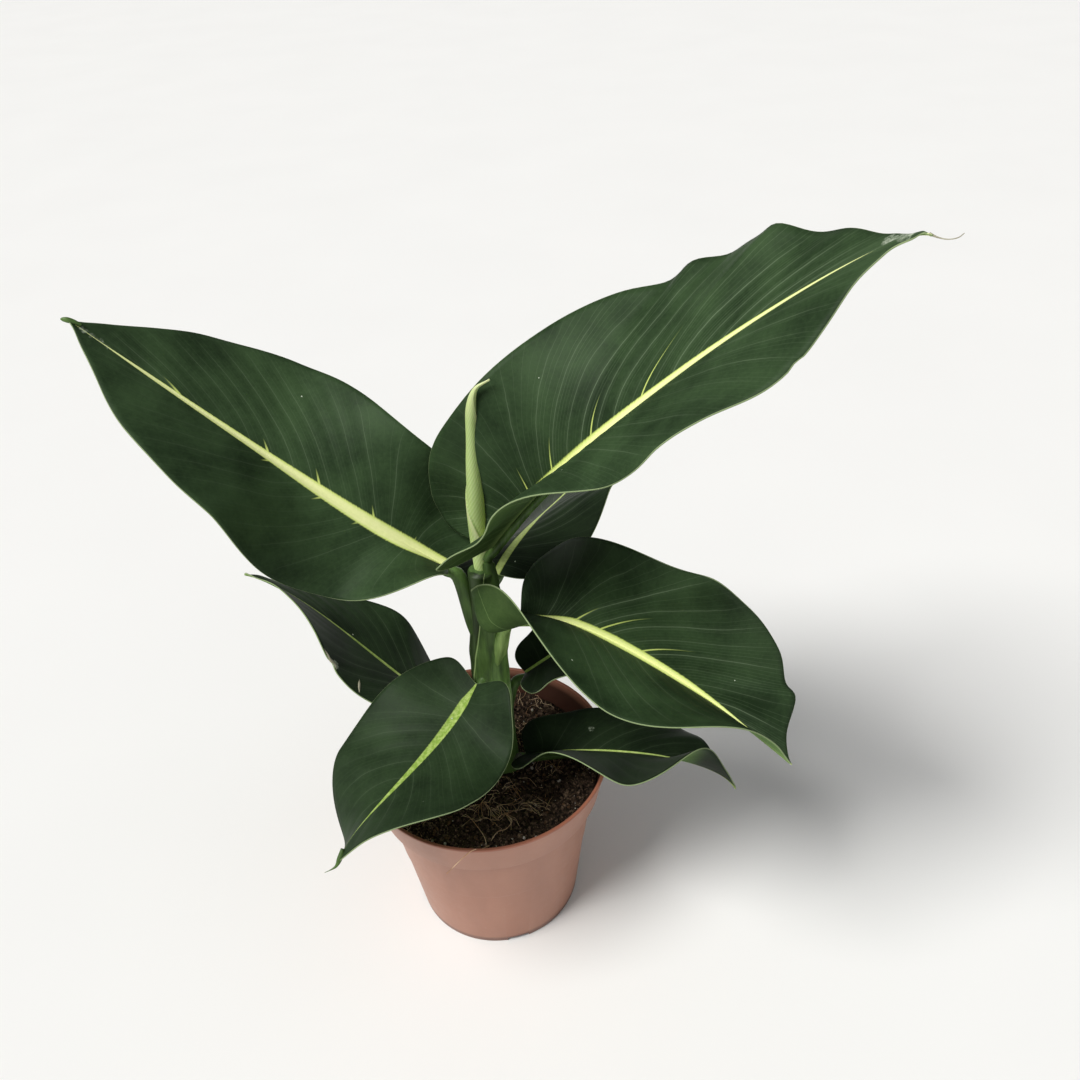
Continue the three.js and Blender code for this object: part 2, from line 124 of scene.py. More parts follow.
# Coir fibres, in mm: how thick they are, how far they bend, and how wide a tangle of them is.
FIBRES = {"radius": 0.095, "bend": 9.5, "tangle_size": 24, "long_radius": 0.16}

# Long single fibres, as paths in mm: two on the soil, and one that hangs out over the rim.
LONG_FIBRES = {
    "soil_long_fibre": [(-10.5, -31.6, 88.2), (-8, -35.4, 90.5), (-4.2, -40.9, 90), (-1.4, -45.1, 88.5),
                        (-0.4, -48.5, 87.5)],
    "soil_curled_fibre": [(2, -47, 87.5), (5, -44, 89.5), (9, -43, 90), (11.7, -38, 89.5), (8, -33, 88.5),
                          (5, -35, 87.8)],
    "soil_rim_fibre": [(1, -50, 87.5), (-2.5, -55, 92), (-4.5, -59.4, 97.6), (-7.5, -60.4, 96.6),
                       (-13, -60.2, 90), (-19, -58.6, 80.5)],
}

# The stem's solid tapers from the height swell_foot to its top, and is swollen where a leaf leaves it.
STEM = {
    "foot": 80.0,
    "swell_foot": 62.0,
    "top": 208.0,
    "in_soil": 2.0,
    "rings": 130,
    "sides": 160,
    "bottom_radius": 7.6,
    "top_radius": 5.6,
    "node_swell": 0.15,
    "node_reach": 3.5,
    "sheath_fold": 0.1,
    "sheath_folds": 3,
    "sheath_turn": 30.0,
}
# Two leaf sheaths wrap the stem and widen it sideways. Each laps on from its edge, which winds up the stem:
# its heading in degrees at a height, its turn in degrees for each mm up, and how far it stands off.
SHEATHS = {
    "widening": 2.1,
    "narrows_from": 160.0,
    "narrows_to": 196.0,
    "height": 159.0,
    "left": {"heading": -145.0, "winding": 1.45, "stand_off": 0.5},
    "right": {"heading": -83.0, "winding": 1.3, "stand_off": 0.6},
    "lap": 0.9,
}
# The dry foot of an old petiole: its heading, and its foot and top as (reach, height) with their radii.
STUB = {"heading": -25.0, "path": [(0, 80), (6, 88), (9.5, 94), (11.5, 96.5)], "radii": [3.4, 3.1, 2.6, 1.5]}
# How finely each kind of stalk is made, and how deep the groove along its top is, as a share of its radius.
SWEEPS = {
    "fibre": {"sides": 6, "points": 40, "groove": 0.0},
    "stub": {"sides": 20, "points": 24, "groove": 0.25},
    "petiole": {"sides": 20, "points": 90, "groove": 0.3},
    "tip_end": {"sides": 8, "points": 30, "groove": 0.0},
    "tear": {"sides": 6, "points": 24, "groove": 0.0},
}

# The newest leaf, still rolled. Its axis: (to the right, height). lap_start: where its outer edge lies at the
# foot, as a share of a turn. Its veins slant: veins_round and veins_up count them.
NEW_LEAF = {
    "axis": [(0, 196), (1, 246), (2.5, 282), (5, 293), (11, 297)],
    "back": 3.0,
    "radii": [2.9, 3.9, 2.3, 0.4],
    "radius_stations": [0, 0.4, 0.82, 1],
    "turns": 1.6,
    "rolled_edge": 0.16,
    "lap_start": 0.75,
    "veins_round": 16,
    "veins_up": 42,
    "rings": 150,
    "sides": 96,
}

# The blade's outline: how round its base is, the shape and end of its lobes, its veins' spread and arch.
OUTLINE = {"round": 0.85, "lobe_shape": 1.2, "lobe_end": 0.45, "vein_spread": 0.4, "vein_arch": 1.6}
# Side veins leave the midrib at a slant: how far they lean towards the tip, and where that sets in and ends.
VEINS = {"lean": 0.13, "sets_in": 0.35, "ends": 0.7}
# The blade's fine relief. crowding: how the columns close up at the midrib. Widths and ranges are in mm, and
# ruffle_ends are shares of the blade.
RELIEF = {
    "crowding": 1.25,
    "groove_width": 2.4,
    "puff_from_rib": (1.5, 9),
    "puff_from_margin": (0.5, 8),
    "ruffle_length": 13,
    "ruffle_ends": (0.05, 0.2),
    "rim_width": 0.7,
}
# A streak reaches this far to either side of its vein, as a share of the way to the next one.
STREAK_SPAN = 0.4
# Steps of the tables by which a place along a curve is looked up.
TABLE_STEPS = 401
# Where along a leaf the lift, roll and stripe of its entry are given, as shares of its length.
LIFT_STATIONS = [0, 0.2, 0.55, 1]
ROLL_STATIONS = [0, 0.5, 1]
STRIPE_STATIONS = [0, 0.1, 0.2, 0.35, 0.6, 0.8, 0.92]
# A petiole starts sunk in the stem, hugs it, turns below the blade, and goes on under it as the midrib.
PETIOLE = {
    "sink": 2.0,
    "hug": 0.5,
    "hug_share": 0.3,
    "waist": 0.92,
    "turn": 8.0,
    "rib_points": 7,
    "below": 0.5,
    "rib_share": 0.9,
}
# The midrib below the blade: its radius at the start and the end, and its length as a share of the leaf's.
RIB = {"start": 2.6, "end": 0.5, "length": 0.82}

# One entry for each leaf. Lengths are in mm, angles in degrees, places as shares of the leaf or the half.
# heading: the way it points, from +X towards +Y. rib: the midrib as a Bezier curve of (reach, height).
# sideways: the tip's shift to the right. point: how drawn out the tip is. roll: raises the right half.
# A half has its width, the lobe by which its base runs back, its lift from the midrib at four stations,
# its curl, waves as (place, height, spread), and nicks as (place, share of the width, spread).
# petiole: (height where it leaves the stem, radius). stripe: the pale stripe's half widths at its stations.
# streaks: pale streaks out along side veins, as (place, side, reach), with side -1 for the left half.
# streak_width: their half width at the foot.
# marks: pale dry marks, as (share of the length, place to the right, radius, strength).
# rib_length and lean stand in for those of RIB and VEINS. bend_radius: the petiole's radius at the blade.
# petiole_sag: how far the petiole's bend hangs below the blade. pale_petiole: whether it is a pale one.
# tone, veining, dulled: how light the green is, darker on older leaves and as painted shade on the lower
# leaves, how plain the veins of each half, how green the stripe.
# painted_shade_point: where along the leaf its lower face turns as dark as the top, as painted shade.
LEAVES = {
    "leaf_low_right": {
        "heading": -12,
        "rib": [(13, 96), (60, 108.5), (106, 109), (115, 94.5)],
        "sideways": 8,
        "point": 3.1,
        "roll": [4, 5, 30],
        "left": {"width": 30, "lobe": 9, "lift": [26, 16, 6, 3], "curl": -11, "waves": [(0.7, 4.5, 0.055)]},
        "right": {"width": 35, "lobe": 9, "lift": [25, 44, 23, 42], "curl": -11,
                  "waves": [(0.4, 1.5, 0.08), (0.7, 8, 0.06)]},
        "petiole": (88, 3.0),
        "rib_length": 0.62,
        "stripe": [0, 0, 0.8, 1.0, 0.8, 0.3, 0],
        "streaks": [],
        "marks": [(0.3, -13.0, 4, 0.8)],
        "tone": 0.42,
        "veining": (0.2, 0.1),
        "dulled": 0.8,
        "painted_shade_point": (0.72, 0.82),
    },
    "leaf_low_left": {
        "heading": 150,
        "rib": [(6, 104), (69, 123), (92, 168), (127, 177)],
        "sideways": -16,
        "point": 2.4,
        "roll": [-28, 3, -29],
        "left": {"width": 35.5, "lobe": 18, "lift": [20, 23, 31, 23], "curl": -10,
                 "waves": [(0.5, -2, 0.08)], "nicks": [(0.555, 0.05, 0.012)]},
        "right": {"width": 34, "lobe": 16.5, "lift": [4, -17, -8, -1], "curl": -15,
                  "waves": [(0.48, 5.5, 0.075)]},
        "petiole": (96, 3.0),
        "stripe": [1.2, 1.3, 1.2, 1.1, 0.7, 0.3, 0],
        "streaks": [],
        "marks": [(0.575, -32.0, 4.5, 1.1)],
        "tone": 0.62,
        "veining": (0.3, 0.3),
        "dulled": 0.9,
    },
    "leaf_small_back": {
        "heading": 32,
        "rib": [(18.5, 138), (46, 143), (72, 151), (96, 139)],
        "sideways": 1,
        "point": 2.4,
        "roll": [6, 2, 0],
        "left": {"width": 24, "lobe": 3, "lift": [24, 9, 10, 10], "curl": -11},
        "right": {"width": 27.5, "lobe": 15, "lift": [30, 17, 10, 10], "curl": -10,
                  "waves": [(0.24, -7.5, 0.077)]},
        "petiole": (98, 2.6),
        "stripe": [1.2, 1.2, 1.1, 1.0, 0.6, 0.2, 0],
        "streaks": [],
        "marks": [],
        "tone": 0.28,
        "veining": (0.2, 0.2),
        "dulled": 0.9,
    },
    "leaf_front_left": {
        "heading": -132,
        "rib": [(10, 149), (51, 121), (87, 137), (105, 123)],
        "sideways": -6.5,
        "point": 2.7,
        "roll": [-12, 2, -20],
        "left": {"width": 39, "lobe": 14, "lift": [13, -1, 24, 20], "curl": -19, "waves": [(0.29, -3, 0.08)]},
        "right": {"width": 40, "lobe": 12, "lift": [18, 22, -2, -43], "curl": -10,
                  "waves": [(0.3, 3.5, 0.08)]},
        "petiole": (132, 3.2),
        "stripe": [0.5, 2.4, 2.3, 1.9, 1.1, 0.35, 0],
        "streaks": [],
        "marks": [(0.4, -25.0, 3.5, 0.65), (0.62, -22.0, 3, 0.6)],
        "tone": 0.62,
        "veining": (0.25, 0.25),
        "dulled": 1.0,
    },
    "leaf_middle_right": {
        "heading": -31,
        "rib": [(18.5, 190), (51, 203), (99, 185.5), (143, 161)],
        "sideways": 4.5,
        "point": 2.6,
        "roll": [19, -32, 18],
        "left": {"width": 45.5, "lobe": 11, "lift": [47, 60, 42, 34], "curl": 6,
                 "waves": [(0.52, 8, 0.04), (0.7, 2.5, 0.04), (0.78, 8.5, 0.035)]},
        "right": {"width": 44.5, "lobe": 20, "lift": [42, 36, 50, 45], "curl": -4,
                  "waves": [(0.5, -1, 0.04), (0.6, -1, 0.04)], "cups": [(0.19, 16, 0.11)]},
        "petiole": (150, 4.8),
        "petiole_sag": 3.0,
        "pale_petiole": True,
        "stripe": [0, 0.9, 2.7, 3.0, 2.4, 0.8, 0],
        "streaks": [(0.32, -1, 12), (0.42, -1, 19), (0.57, -1, 15), (0.79, 1, 4)],
        "streak_width": 0.45,
        "marks": [(0.78, -20.0, 6, 0.55)],
        "tone": 0.92,
        "veining": (0.75, 0.35),
        "dulled": 0.1,
        "lean": 0.2,
    },
    "leaf_back": {
        "heading": 65.5,
        "rib": [(14, 196), (44, 205.5), (87, 184), (125, 183)],
        "sideways": 0,
        "point": 2.4,
        "roll": [5, 28, 12],
        "left": {"width": 39.5, "lobe": 12, "lift": [-2, -14, -14, -14], "curl": -15},
        "right": {"width": 39, "lobe": 2, "lift": [-8, -6, 10, 16], "curl": -13},
        "petiole": (162, 3.8),
        "stripe": [1.6, 1.9, 2.0, 2.0, 1.5, 0.9, 0],
        "streaks": [],
        "marks": [],
        "tone": 0.42,
        "veining": (0.4, 0.4),
        "dulled": 0.7,
    },
    "leaf_upper_left": {
        "heading": 173,
        "rib": [(15, 210.5), (62, 243.5), (104.5, 287), (146, 327.5)],
        "sideways": -4,
        "point": 2.6,
        "roll": [11, 34, 13],
        "left": {"width": 45, "lobe": 6, "lift": [36, -22, 32, -3], "curl": -9,
                 "waves": [(0.2, 4, 0.1), (0.64, 2, 0.05)]},
        "right": {"width": 45.5, "lobe": 20, "lift": [30, 48, -1, 5], "curl": -5,
                  "waves": [(0.3, 3.5, 0.08), (0.6, -5.5, 0.08)]},
        "petiole": (165, 4.8),
        "bend_radius": 3.5,
        "stripe": [3.0, 3.3, 3.1, 2.5, 1.6, 0.8, 0.15],
        "streaks": [(0.81, 1, 3.5), (0.63, 1, 5.5), (0.5, 1, 7), (0.33, 1, 7), (0.18, 1, 5), (0.62, -1, 4.5),
                    (0.48, -1, 5.5), (0.36, -1, 5), (0.22, -1, 4)],
        "marks": [(0.9, 0, 2.5, 0.8), (0.92, 0.5, 3, 0.85), (0.94, 0, 3, 0.9), (0.96, 0, 3, 1.0)],
        "tone": 1.0,
        "veining": (0.25, 0.4),
        "dulled": 0.0,
    },
    "leaf_upper_right": {
        "heading": -17,
        "rib": [(6, 221), (46, 284), (145, 370), (157, 371)],
        "sideways": 26,
        "point": 3.4,
        "roll": [-36, -19, 1],
        "left": {
            "width": 51,
            "lobe": 23,
            "lift": [32, 55, 17, 18],
            "curl": -5,
            "waves": [(0.275, 10.5, 0.09), (0.53, -5.5, 0.03), (0.595, -4.5, 0.03), (0.676, 5.5, 0.025),
                      (0.77, 2, 0.035)],
        },
        "right": {
            "width": 50.5,
            "lobe": 19,
            "lift": [64, 48, 21, -17],
            "curl": -18,
            "waves": [(0.16, 7, 0.1), (0.37, 5, 0.06), (0.457, -5, 0.045), (0.676, -8.5, 0.08)],
            "nicks": [(0.69, 0.07, 0.006)],
        },
        "petiole": (190, 3.6),
        "stripe": [2.8, 3.2, 3.2, 2.8, 1.9, 0.75, 0],
        "streak_width": 0.42,
        "streaks": [(0.27, -1, 13), (0.36, -1, 13), (0.48, -1, 14), (0.6, -1, 18), (0.72, -1, 2.5),
                    (0.62, 1, 3)],
        "marks": [(0.93, -3, 5, 1.0), (0.96, -2, 7, 1.0)],
        "tone": 0.98,
        "veining": (0.8, 0.4),
        "lean": 0.11,
        "dulled": 0.0,
    },
}

# Drawn out ends of some tips, from the tip on: places in mm to the right, away and up from it, their radii,
# and whether the end is dry.
TIP_ENDS = {
    "leaf_upper_right": ([(-0.4, 1.2, 0), (1.5, -0.4, -0.6), (4, -1.6, -0.9), (6.5, -2.4, -0.3),
                          (8, -2.6, 1.0)],
                         [0.5, 0.25, 0.18, 0.16, 0.12], True),
    "leaf_front_left": ([(2.4, 4.2, 4.4), (1.0, 1.6, 1.6), (-0.6, -0.6, -0.4), (-3.2, -1.8, -1.2),
                         (-5.2, -2.6, -1.4)],
                        [0.9, 1.2, 0.6, 0.2, 0.12], False),
    "leaf_upper_left": ([(5, 0, -2.9), (2.8, 0, -1.5), (0.6, 0, -0.6), (-1.0, 0, -0.2), (-1.9, 0, -0.1)],
                        [0.5, 0.9, 1.1, 0.8, 0.2], False),
}

# Dry pale edges of the tears in the left half of the low left leaf: (place along it, share of the way out)
# for each point, and the radii in mm.
TEARS = {
    "leaf_low_left_slit": ([(0.524, 0.733), (0.512, 0.785), (0.5, 0.833), (0.486, 0.893), (0.472, 0.95)],
                           [0.4, 0.7, 0.8, 0.7, 0.4]),
    "leaf_low_left_torn_margin": ([(0.6, 0.985), (0.585, 0.97), (0.57, 0.975), (0.555, 0.97), (0.54, 0.985)],
                                  [0.2, 0.55, 0.7, 0.6, 0.2]),
}

# The camera stands where the photograph was taken from, at a place in mm. Right and up are its own
# directions, and its lens and its film's width are in mm.
CAMERA = {
    "place": (32.9, -355.9, 478.8),
    "right": (0.998095, -0.036072, -0.050042),
    "up": (0.061688, 0.583643, 0.809664),
    "lens": 34.67,
    "film": 36.0,
}
# Where the filling light shines from, the angle of its source in degrees, and both lights' tints.
FILL_FROM = (0.6, -0.5, 1.0)
FILL_SOFTNESS = 60.0
KEY_TINT = (1.0, 0.99, 0.97)
FILL_TINT = (0.97, 0.98, 1.0)


# Small helpers


def colour(hex_value):
    """A colour written as sRGB hex, turned to the linear values that a shader takes."""
    parts = [int(hex_value[k:k + 2], 16) / 255 for k in (1, 3, 5)]
    linear = [c / 12.92 if c <= 0.04045 else ((c + 0.055) / 1.055) ** 2.4 for c in parts]
    return (*linear, 1.0)


def fill_inputs(node, inputs):
    """Fills a node's inputs with values, hex colours, or other nodes or their outputs.

    A node given as a value stands for its first output that is in use.
    """
    for key, value in inputs.items():
        if isinstance(value, bpy.types.Node):
            value = next(output for output in value.outputs if output.enabled)
        if isinstance(value, bpy.types.NodeSocket):
            node.id_data.links.new(value, node.inputs[key])
        elif isinstance(value, str) and value.startswith("#"):
            node.inputs[key].default_value = colour(value)
        else:
            node.inputs[key].default_value = value


def add_node(tree, kind, inputs=None, **settings):
    """Adds a node to a tree, sets its options and fills its inputs. Each maker of a tree calls it add."""
    node = tree.nodes.new(kind)
    for name, value in settings.items():
        setattr(node, name, value)
    fill_inputs(node, inputs or {})
    return node


def smoothstep(value, low, high):
    """From 0 at the low end to 1 at the high one, with a soft start and end."""
    share = np.clip((value - low) / (high - low), 0, 1)
    return share * share * (3 - 2 * share)


def blend(values, stations, along):
    """A smooth curve through the values, each at its own station."""
    along = np.asarray(along, float)
    result = np.full(along.shape, float(values[0]))
    for k in range(len(stations) - 1):
        share = smoothstep(along, stations[k], stations[k + 1])
        result += (values[k + 1] - values[k]) * share
    return result


def normalised(vectors):
    """The vectors at length 1."""
    return vectors / np.linalg.norm(vectors, axis=-1, keepdims=True)


def new_piece(name, vertices, faces=(), edges=(), attributes=None):
    """An object of vertices in mm, with its attributes given for each vertex."""
    mesh = bpy.data.meshes.new(name)
    mesh.from_pydata((np.asarray(vertices) * MM).tolist(), list(edges), list(faces))
    for label, values in (attributes or {}).items():
        layer = mesh.attributes.new(label, "FLOAT", "POINT")
        layer.data.foreach_set("value", np.asarray(values, np.float32).ravel())
    mesh.update()
    piece = bpy.data.objects.new(name, mesh)
    bpy.context.scene.collection.objects.link(piece)
    return piece


def finish_piece(piece, slot, *nodes):
    """The piece rides on the one body and stands for the nodes. The slot is not used."""
    piece.data.shade_smooth()
    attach(piece, "root")
    if nodes:
        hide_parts(*nodes)


def grid_faces(rows, columns, closed=False):
    """Quads of a grid of points, numbered row by row. A closed one joins its last column to its first."""
    faces = []
    for i in range(rows - 1):
        for j in range(columns if closed else columns - 1):
            right = (j + 1) % columns
            here, below = i * columns, (i + 1) * columns
            faces.append((here + j, here + right, below + right, below + j))
    return faces


def closed_sheet(points, faces, thickness):
    """A sheet of even thickness round a surface. Returns its points, its faces and which points are below."""
    corners = np.array([face[:3] for face in faces])
    first, second, third = (points[corners[:, k]] for k in range(3))
    slopes = np.cross(second - first, third - first)
    normals = np.zeros_like(points)
    for face, slope in zip(faces, slopes):
        for corner in face:
            normals[corner] += slope
    lengths = np.linalg.norm(normals, axis=1, keepdims=True)
    normals = normals / np.maximum(lengths, 1e-12)
    count = len(points)
    edges = {}
    for face in faces:
        for a, b in zip(face, face[1:] + face[:1]):
            edges[(a, b)] = True
    walls = [(b, a, a + count, b + count) for a, b in edges if (b, a) not in edges]
    below = [tuple(corner + count for corner in reversed(face)) for face in faces]
    both = np.concatenate([points + normals * thickness / 2, points - normals * thickness / 2])
    side = np.concatenate([np.zeros(count), np.ones(count)])
    return both, [*faces, *below, *walls], side


# Geometry node trees


def new_tree(name, inputs):
    """A geometry node tree with a geometry input and output, and the named inputs given as {name: type}.

    Returns the tree, its inputs as they come in, and the function that adds a node to it.
    """
    tree = bpy.data.node_groups.new(name, "GeometryNodeTree")
    tree.is_modifier = True
    tree.interface.new_socket("Geometry", in_out="INPUT", socket_type="NodeSocketGeometry")
    for label, kind in inputs.items():
        tree.interface.new_socket(label, in_out="INPUT", socket_type=kind)
    tree.interface.new_socket("Geometry", in_out="OUTPUT", socket_type="NodeSocketGeometry")
    return tree, tree.nodes.new("NodeGroupInput").outputs, partial(add_node, tree)


def end_tree(tree, geometry, material):
    """The tree's end: real geometry in place of instances, with its material."""
    real = add_node(tree, "GeometryNodeRealizeInstances", {"Geometry": geometry})
    painted = add_node(tree, "GeometryNodeSetMaterial", {"Geometry": real, "Material": material})
    add_node(tree, "NodeGroupOutput", {"Geometry": painted})


def run_tree(piece, tree, values):
    """Runs the tree on the piece with its inputs set, and leaves a plain mesh."""
    modifier = piece.modifiers.new(tree.name, "NODES")
    modifier.node_group = tree
    identifiers = {item.name: item.identifier for item in tree.interface.items_tree if item.in_out == "INPUT"}
    for label, value in values.items():
        modifier[identifiers[label]] = value
    depsgraph = bpy.context.evaluated_depsgraph_get()
    mesh = bpy.data.meshes.new_from_object(piece.evaluated_get(depsgraph))
    piece.modifiers.clear()
    old = piece.data
    piece.data = mesh
    bpy.data.meshes.remove(old)
    mesh.name = piece.name


def stalk_tree():
    """A tube along a path of edges. The path's points carry its radius, and a groove runs along its top."""
    tree, given, add = new_tree("Stalk along a path", {
        "Sides": "NodeSocketInt",
        "Points": "NodeSocketInt",
        "Groove": "NodeSocketFloat",
        "Material": "NodeSocketMaterial",
    })
    path = add("GeometryNodeMeshToCurve", {"Mesh": given["Geometry"]})
    smooth = add("GeometryNodeCurveSplineType", {"Curve": path}, spline_type="CATMULL_ROM")
    fine = add("GeometryNodeSetSplineResolution", {"Geometry": smooth, "Resolution": 16})
    even = add("GeometryNodeResampleCurve", {"Curve": fine, "Count": given["Points"]})
    upright = add("GeometryNodeSetCurveNormal", {"Curve": even}, mode="Z_UP")
    ring = add("GeometryNodeCurvePrimitiveCircle", {"Resolution": given["Sides"], "Radius": 1.0})
    place = add("GeometryNodeInputPosition")
    parts = add("ShaderNodeSeparateXYZ", {0: place})
    top = add("ShaderNodeMath", {0: parts.outputs["Y"], 1: 0.0}, operation="MAXIMUM")
    narrow = add("ShaderNodeMath", {0: top, 1: 4.0}, operation="POWER")
    depth = add("ShaderNodeMath", {0: narrow, 1: given["Groove"]}, operation="MULTIPLY")
    down = add("ShaderNodeMath", {0: depth, 1: -1.0}, operation="MULTIPLY")
    shift = add("ShaderNodeCombineXYZ", {"Y": down})
    grooved = add("GeometryNodeSetPosition", {"Geometry": ring, "Offset": shift})
    radius = add("GeometryNodeInputNamedAttribute", {"Name": "radius"}, data_type="FLOAT")
    tube = add("GeometryNodeCurveToMesh", {
        "Curve": upright,
        "Profile Curve": grooved,
        "Scale": radius,
        "Fill Caps": True,
    })
    end_tree(tree, tube, given["Material"])
    return tree


def pot_tree():
    """The pot: its outline turned round the axis, with drain holes and foot notches cut out."""
    tree, given, add = new_tree("Turned pot", {
        "Outline": "NodeSocketObject",
        "Turning Radius": "NodeSocketFloat",
        "Steps Round": "NodeSocketInt",
        "Drain Holes": "NodeSocketInt",
        "Drain Circle": "NodeSocketFloat",
        "Drain Radius": "NodeSocketFloat",
        "Drain Length": "NodeSocketFloat",
        "Drain Height": "NodeSocketFloat",
        "Notches": "NodeSocketInt",
        "Notch Circle": "NodeSocketFloat",
        "Notch Size": "NodeSocketVector",
        "Notch Heading": "NodeSocketFloat",
        "Material": "NodeSocketMaterial",
    })
    outline = add("GeometryNodeObjectInfo", {"Object": given["Outline"]})
    profile = add("GeometryNodeMeshToCurve", {"Mesh": outline.outputs["Geometry"]})
    circle = add("GeometryNodeCurvePrimitiveCircle", {
        "Resolution": given["Steps Round"],
        "Radius": given["Turning Radius"],
    })
    body = add("GeometryNodeCurveToMesh", {"Curve": circle, "Profile Curve": profile})
    # A profile hangs with its Y axis down, so the body is turned over.
    upright = add("GeometryNodeTransform", {"Geometry": body, "Rotation": (math.pi, 0.0, 0.0)})
    welded = add("GeometryNodeMergeByDistance", {"Geometry": upright, "Distance": 2e-6})
    drain = add("GeometryNodeMeshCylinder", {
        "Vertices": 24,
        "Radius": given["Drain Radius"],
        "Depth": given["Drain Length"],
    })
    drain_ring = add("GeometryNodeMeshCircle", {
        "Vertices": given["Drain Holes"],
        "Radius": given["Drain Circle"],
    })
    drains = add("GeometryNodeInstanceOnPoints", {"Points": drain_ring, "Instance": drain})
    lift = add("ShaderNodeCombineXYZ", {"Z": given["Drain Height"]})
    drains_up = add("GeometryNodeTransform", {"Geometry": drains, "Translation": lift})
    notch = add("GeometryNodeMeshCube", {"Size": given["Notch Size"]})
    notch_ring = add("GeometryNodeMeshCircle", {
        "Vertices": given["Notches"],
        "Radius": given["Notch Circle"],
    })
    outward = add("GeometryNodeInputPosition")
    facing = add("FunctionNodeAlignRotationToVector", {"Vector": outward}, axis="X")
    notches = add("GeometryNodeInstanceOnPoints", {
        "Points": notch_ring,
        "Instance": notch,
        "Rotation": facing,
    })
    turn = add("ShaderNodeCombineXYZ", {"Z": given["Notch Heading"]})
    heading = add("FunctionNodeEulerToRotation", {0: turn})
    notches_turned = add("GeometryNodeTransform", {"Geometry": notches, "Rotation": heading})
    cutters = add("GeometryNodeJoinGeometry")
    for cutter in (drains_up, notches_turned):
        tree.links.new(cutter.outputs[0], cutters.inputs[0])
    real_cutters = add("GeometryNodeRealizeInstances", {"Geometry": cutters})
    cut = add("GeometryNodeMeshBoolean", {
        "Mesh 1": welded,
        "Mesh 2": real_cutters,
    }, operation="DIFFERENCE", solver="EXACT")
    end_tree(tree, cut, given["Material"])
    return tree


def crumb_tree():
    """Crumbs of peat scattered over a surface, each a small rough lump turned and sized at random."""
    tree, given, add = new_tree("Crumbs on a surface", {
        "Density": "NodeSocketFloat",
        "Smallest": "NodeSocketFloat",
        "Largest": "NodeSocketFloat",
        "Flatness": "NodeSocketFloat",
        "Seed": "NodeSocketInt",
        "Material": "NodeSocketMaterial",
    })
    points = add("GeometryNodeDistributePointsOnFaces", {
        "Mesh": given["Geometry"],
        "Density": given["Density"],
        "Seed": given["Seed"],
    })
    crumb = add("GeometryNodeMeshIcoSphere", {"Radius": 1.0, "Subdivisions": 1})
    place = add("GeometryNodeInputPosition")
    rough = add("ShaderNodeTexNoise", {"Vector": place, "Scale": 1.4, "Detail": 1.0})
    swell = add("ShaderNodeMapRange", {"Value": rough, "To Min": 0.4, "To Max": 1.6})
    lumpy = add("ShaderNodeVectorMath", {0: place, "Scale": swell}, operation="SCALE")
    lump = add("GeometryNodeSetPosition", {"Geometry": crumb, "Position": lumpy})
    turn = add("FunctionNodeRandomValue", {
        "Min": (0.0, 0.0, 0.0),
        "Max": (math.tau, math.tau, math.tau),
        "Seed": given["Seed"],
    }, data_type="FLOAT_VECTOR")
    rotation = add("FunctionNodeEulerToRotation", {0: turn})
    draw = add("FunctionNodeRandomValue", {2: 0.0, 3: 1.0, "Seed": 7}, data_type="FLOAT")
    few_large = add("ShaderNodeMath", {0: draw, 1: 3.0}, operation="POWER")
    size = add("ShaderNodeMapRange", {
        "Value": few_large,
        "To Min": given["Smallest"],
        "To Max": given["Largest"],
    })
    flat = add("ShaderNodeMath", {0: size, 1: given["Flatness"]}, operation="MULTIPLY")
    shape = add("ShaderNodeCombineXYZ", {0: size, 1: size, 2: flat})
    crumbs = add("GeometryNodeInstanceOnPoints", {
        "Points": points.outputs["Points"],
        "Instance": lump,
        "Rotation": rotation,
        "Scale": shape,
    })
    end_tree(tree, crumbs, given["Material"])
    return tree


